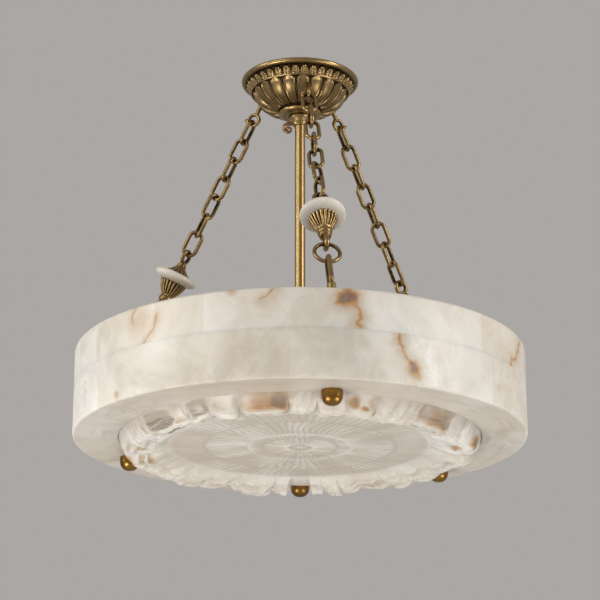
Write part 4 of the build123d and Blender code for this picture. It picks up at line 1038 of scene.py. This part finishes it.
def plain_shank(line, radius, low, high):
    return turned([(0.4, low), (radius, low), (radius, high), (0.4, high)], line, 24)


def chain(side, azimuth):
    line = chain_place(azimuth)
    eye = wire_loop(line, EYE_LOW, EYE_HIGH, EYE_DIAMETER, EYE_WIRE)
    shank = plain_shank(line, 2.5, EYE_HIGH - 2.0, CHAIN_LENGTH + 9.0)
    wire_piece(f"{side}_canopy_eye_wire", joined([eye, shank]), f"{side}_canopy_eye")
    links = []
    turn = 90.0 + LINK_TWISTS[side]
    count = LINK_COUNT + EXTRA_LINKS[side]
    for index in range(count):
        high = FIRST_LINK_HIGH - index * LINK_PITCH
        place = chain_place(azimuth, turn)
        links.append(wire_loop(place, high - LINK_LENGTH, high, LINK_WIDTH, LINK_WIRE))
        if index == 0:
            links.append(hook_tip(place, azimuth, high - 10.0, 3.8))
        turn += 67.5 if index >= count - 4 else 90.0
    wire_piece(f"{side}_chain_wire", joined(links), f"{side}_chain_links")
    across = chain_place(azimuth, 90.0, EXTRA_LINKS[side] * LINK_PITCH)
    ring = wire_loop(across, RING_LOW, RING_LOW + RING_DIAMETER, RING_DIAMETER, RING_WIRE, 24)
    wire_piece(f"{side}_ring_wire", ring, f"{side}_chain_ring")


def fluted(profile, place, ribs, depth):
    """Skin of a turned bell cut with ribs, from a profile of radius, height and share of the cut."""
    profile = np.asarray(profile, float)
    angles = np.linspace(0, 2 * math.pi, ribs * SEGMENTS_PER_RIB, endpoint=False)
    rib = np.abs(np.cos(angles * ribs / 2)) ** 0.75
    share = profile[:, 2:3]
    radius = profile[:, :1] - depth * share * (1 - rib)
    points = place.points(radius * np.cos(angles), radius * np.sin(angles), profile[:, 1:2])
    # Painted shade with patina down the grooves between the ribs
    return skin(points, np.clip(share * (1 - smooth(0.35, 0.85, rib)) * 1.1, 0, 1))


def bead(side, azimuth):
    drop = EXTRA_LINKS[side] * LINK_PITCH
    line = chain_place(azimuth, 0.0, drop)
    body = f"{side}_bead"
    bore = SHANK_RADIUS + 0.05
    lower = [(bore, LOWER_BELL_LOW, 0.0), (7.0, LOWER_BELL_LOW, 0.0), (7.3, LOWER_BELL_LOW + 0.8, 0.0)]
    for t in np.linspace(0.0, 1.0, 16):
        swell = 0.9 * math.sin(math.pi * t)
        lower.append((7.5 + 8.0 * t + swell, LOWER_BELL_LOW + 1.0 + 15.2 * t, float(smooth(0.0, 0.14, t))))
    lower += [(15.9, DISC_LOW - 0.7, 0.6), (15.4, DISC_LOW - 0.05, 0.4), (bore, DISC_LOW - 0.05, 0.0)]
    foot = UPPER_BELL_LOW
    upper = [(bore, foot + 0.05, 0.0), (13.2, foot + 0.05, 0.3), (14.0, foot + 0.7, 0.8)]
    for t in np.linspace(0.0, 1.0, 12):
        upper.append((13.6 - 7.6 * t**0.72, foot + 1.1 + 6.9 * t, 1.0 - float(smooth(0.85, 1.0, t))))
    upper.append((bore, STEM_COLLAR_LOW - 0.05, 0.0))
    for name, profile, ribs, depth in (("lower_bell", lower, 20, 1.9), ("upper_bell", upper, 16, 1.6)):
        shell = fluted(profile, line, ribs, depth)
        stands_for = (f"{side}_{name}",)
        piece(f"{side}_{name}_fluted", shell, TURNED_BRASS, body, stands_for, 55.0)

    disc = above(DISC_LOW, [(bore, 0.02), (15.0, 0.02), (21.5, 2.6), (24.8, 4.6), (24.8, 8.4)])
    disc += above(UPPER_BELL_LOW, [(22.0, -1.2), (14.0, -0.02), (bore, -0.02)])
    disc = rounded(disc, 3.4, 6)
    # Painted shade on the stone disc, darker in towards the bells
    shell = turned(disc, line, 96, 0.55 * (1 - smooth(17.0, 24.0, disc[:, 0])))
    tone = {"tone": np.full(len(shell[0]), -0.2)}
    stands_for = (f"{side}_bead_disc",)
    piece(f"{side}_bead_disc_stone", shell, BEAD_STONE, body, stands_for, 50.0, tone)

    collar = [(0.4, -0.02), (5.6, 0.0), (6.0, 1.6), (4.6, 2.6), (5.0, 3.6), (3.4, 5.0), (0.4, 5.2)]
    collar = rounded(above(STEM_COLLAR_LOW, collar), 0.7)
    shank = plain_shank(line, SHANK_RADIUS, LOWER_BELL_LOW - 7.4, STEM_COLLAR_LOW)
    across = chain_place(azimuth, 90.0 * (1 + EXTRA_LINKS[side]), drop)
    stem_loop = wire_loop(across, STEM_LOOP_LOW, STEM_LOOP_HIGH, LINK_WIDTH, STEM_WIRE)
    stem = joined([turned(collar, line, 40), shank, stem_loop])
    wire_piece(f"{side}_bead_stem_turned", stem, f"{side}_bead_stem")

    foot = [(0.4, 0.0), (5.2, 0.0), (6.7, 1.2), (6.7, 3.0), (5.9, 3.8), (7.4, 4.8), (8.2, 7.4), (7.7, 10.2)]
    foot = above(FOOT_LOW, foot) + above(LOWER_BELL_LOW, [(7.0, -0.05), (0.4, -0.05)])
    foot_loop = wire_loop(line, FOOT_LOOP_LOW, FOOT_LOOP_HIGH, LOOP_WIDTH, LOOP_WIRE)
    shell = joined([turned(rounded(foot, 1.0), line, 48), foot_loop])
    wire_piece(f"{side}_bead_foot_turned", shell, f"{side}_bead_foot")


def eye_stud(side, azimuth):
    lug = [(9.6, 0.0), (10.0, 1.4), (8.6, 3.4), (7.4, 4.4), (6.8, 8.0), (5.0, 16.0)]
    lug += [(4.2, 21.0), (0.4, 21.5)]
    stud = [(0.4, STUD_FOOT), (4.0, STUD_FOOT), (4.0, ARM_TOP)] + above(ARM_TOP, lug)
    eye_top = LUG_EYE_TOP - EXTRA_LINKS[side] * LINK_PITCH
    eye = wire_loop(chain_place(azimuth), LUG_EYE_LOW, eye_top, LOOP_WIDTH, LOOP_WIRE)
    shell = joined([turned(rounded(stud, 0.8), stud_place(azimuth), 40), eye])
    wire_piece(f"{side}_eye_stud_lug", shell, f"{side}_eye_stud")


def finial(side, azimuth):
    shoulder, height = DRUM_BOTTOM - 5.0, 11.0
    dome = above(DRUM_BOTTOM, [(4.05, -0.05), (10.6, -0.05), (11.2, -0.7), (FINIAL_RADIUS, -1.6)])
    dome.append((FINIAL_RADIUS, shoulder))
    for angle in np.linspace(0, 88, 18):
        turn = math.radians(angle)
        dome.append((FINIAL_RADIUS * math.cos(turn) ** 0.8, shoulder - height * math.sin(turn)))
    dome.append((0.3, shoulder - height))
    shell = turned(dome, stud_place(azimuth), 56)
    body, stands_for = f"{side}_finial_nut", (f"{side}_finial",)
    piece(f"{side}_finial_dome", shell, FINIAL_BRASS, body, stands_for)


# Inside the drum and the canopy


def dress_fittings():
    """Give the hidden fittings, which keep their own solids, their finishes."""
    plain_brass = patinated("fitting brass", (0.48, 0.335, 0.15), (0.09, 0.06, 0.03), 0.45, 0.36)
    plain = {"grain": 0.1, "masks": ()}
    zinc = patinated("zinc plated steel", (0.56, 0.55, 0.52), (0.30, 0.29, 0.27), 0.5, 0.38, **plain)
    plain["metal"] = 0.0
    cream = patinated("cream sleeve", (0.80, 0.77, 0.69), (0.62, 0.57, 0.48), 0.35, 0.42, **plain)
    glass = patinated("frosted bulb glass", (0.86, 0.84, 0.78), (0.74, 0.71, 0.64), 0.25, 0.32, **plain)
    shader = glass.node_tree.nodes["Principled BSDF"]
    shader.inputs["Transmission Weight"].default_value = 0.35
    shader.inputs["IOR"].default_value = 1.45
    finishes = {"ceiling_bracket": zinc, "nipple": zinc, "bracket_nuts": zinc}
    for name in ("cluster_body", "cluster_nut", "arm_nuts", "rear_stud"):
        finishes[name] = plain_brass
    for side in SIDES:
        finishes[f"{side}_arm"] = plain_brass
        finishes[f"{side}_lampholder"] = cream
        finishes[f"{side}_bulb"] = glass
    for name, material in finishes.items():
        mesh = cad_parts[name].data
        mesh.materials.clear()
        mesh.materials.append(material)


# Room: floor, light and camera


def floor():
    half, level = 6.0, -1.6
    mesh = bpy.data.meshes.new("floor")
    corners = [(-half, -half, level), (half, -half, level), (half, half, level), (-half, half, level)]
    mesh.from_pydata(corners, [], [(0, 1, 2, 3)])
    material, add, shader, where = finish_sheet("pale floor")
    tint = add.mixed(add.noise(where, 2.0), (0.62, 0.605, 0.59, 1), (0.66, 0.645, 0.63, 1))
    add.tree.links.new(tint, shader.inputs["Base Color"])
    shader.inputs["Roughness"].default_value = 0.9
    mesh.materials.append(material)
    made = placed("floor", mesh)


def backdrop():
    """Grey seen behind the lamp and in its brass; a paler dome lights it softly."""
    world = bpy.data.worlds.new("studio")
    bpy.context.scene.world = world
    world.use_nodes = True
    world.node_tree.nodes.clear()
    add = Wiring(world.node_tree)
    path = add.node("ShaderNodeLightPath").outputs
    seen = add.maths("MAXIMUM", path["Is Camera Ray"], path["Is Transmission Ray"])
    seen = add.maths("MAXIMUM", seen, path["Is Glossy Ray"])
    grey = add.node("ShaderNodeBackground", {"Color": (0.402, 0.386, 0.371, 1), "Strength": 1.0})
    dome = add.node("ShaderNodeBackground", {"Color": (1.0, 0.985, 0.96, 1), "Strength": 0.46})
    both = add.node("ShaderNodeMixShader", {0: seen, 1: dome.outputs[0], 2: grey.outputs[0]})
    add.node("ShaderNodeOutputWorld", {"Surface": both.outputs[0]})


def softbox(name, place, aim, width, height, power, tint):
    light = bpy.data.lights.new(name, "AREA")
    light.shape = "RECTANGLE"
    light.size, light.size_y = width, height
    light.energy = power
    light.color = tint
    made = placed(name, light)
    made.location = place
    made.rotation_euler = (Vector(aim) - Vector(place)).to_track_quat("-Z", "Y").to_euler()


def studio_light():
    middle = (0.0, 0.0, -0.30)
    softbox("key softbox", (-1.6, -1.9, 0.9), middle, 1.2, 1.2, 10.6, (1.0, 0.98, 0.95))
    softbox("right strip", (1.8, -0.9, 0.15), middle, 0.4, 1.2, 14.4, (1.0, 0.97, 0.93))
    softbox("left strip", (-1.9, -0.6, 0.15), middle, 0.4, 1.2, 9.0, (1.0, 0.98, 0.95))
    softbox("low left fill", (-1.0, -0.7, -1.45), middle, 0.7, 0.7, 14.8, (1.0, 0.98, 0.96))
    softbox("low right fill", (1.1, -0.5, -1.45), middle, 0.9, 0.9, 10.0, (1.0, 0.98, 0.96))


def camera():
    lens = bpy.data.cameras.new("view")
    lens.sensor_width = 36.0
    lens.lens = 125.8
    made = placed("view", lens)
    made.location = (0.0, -2.245, -1.009)
    made.rotation_euler = (math.radians(108.23), 0.0, 0.0)
    bpy.context.scene.camera = made


camera()
drum()
carved_dish()
canopy()
neck_and_rod()
scroll()
for side_name, side_azimuth in SIDES.items():
    chain(side_name, side_azimuth)
    bead(side_name, side_azimuth)
    eye_stud(side_name, side_azimuth)
    finial(side_name, side_azimuth)
finial("rear", REAR_AZIMUTH)
dress_fittings()
floor()
backdrop()
studio_light()
bpy.context.scene.view_settings.view_transform = "Standard"
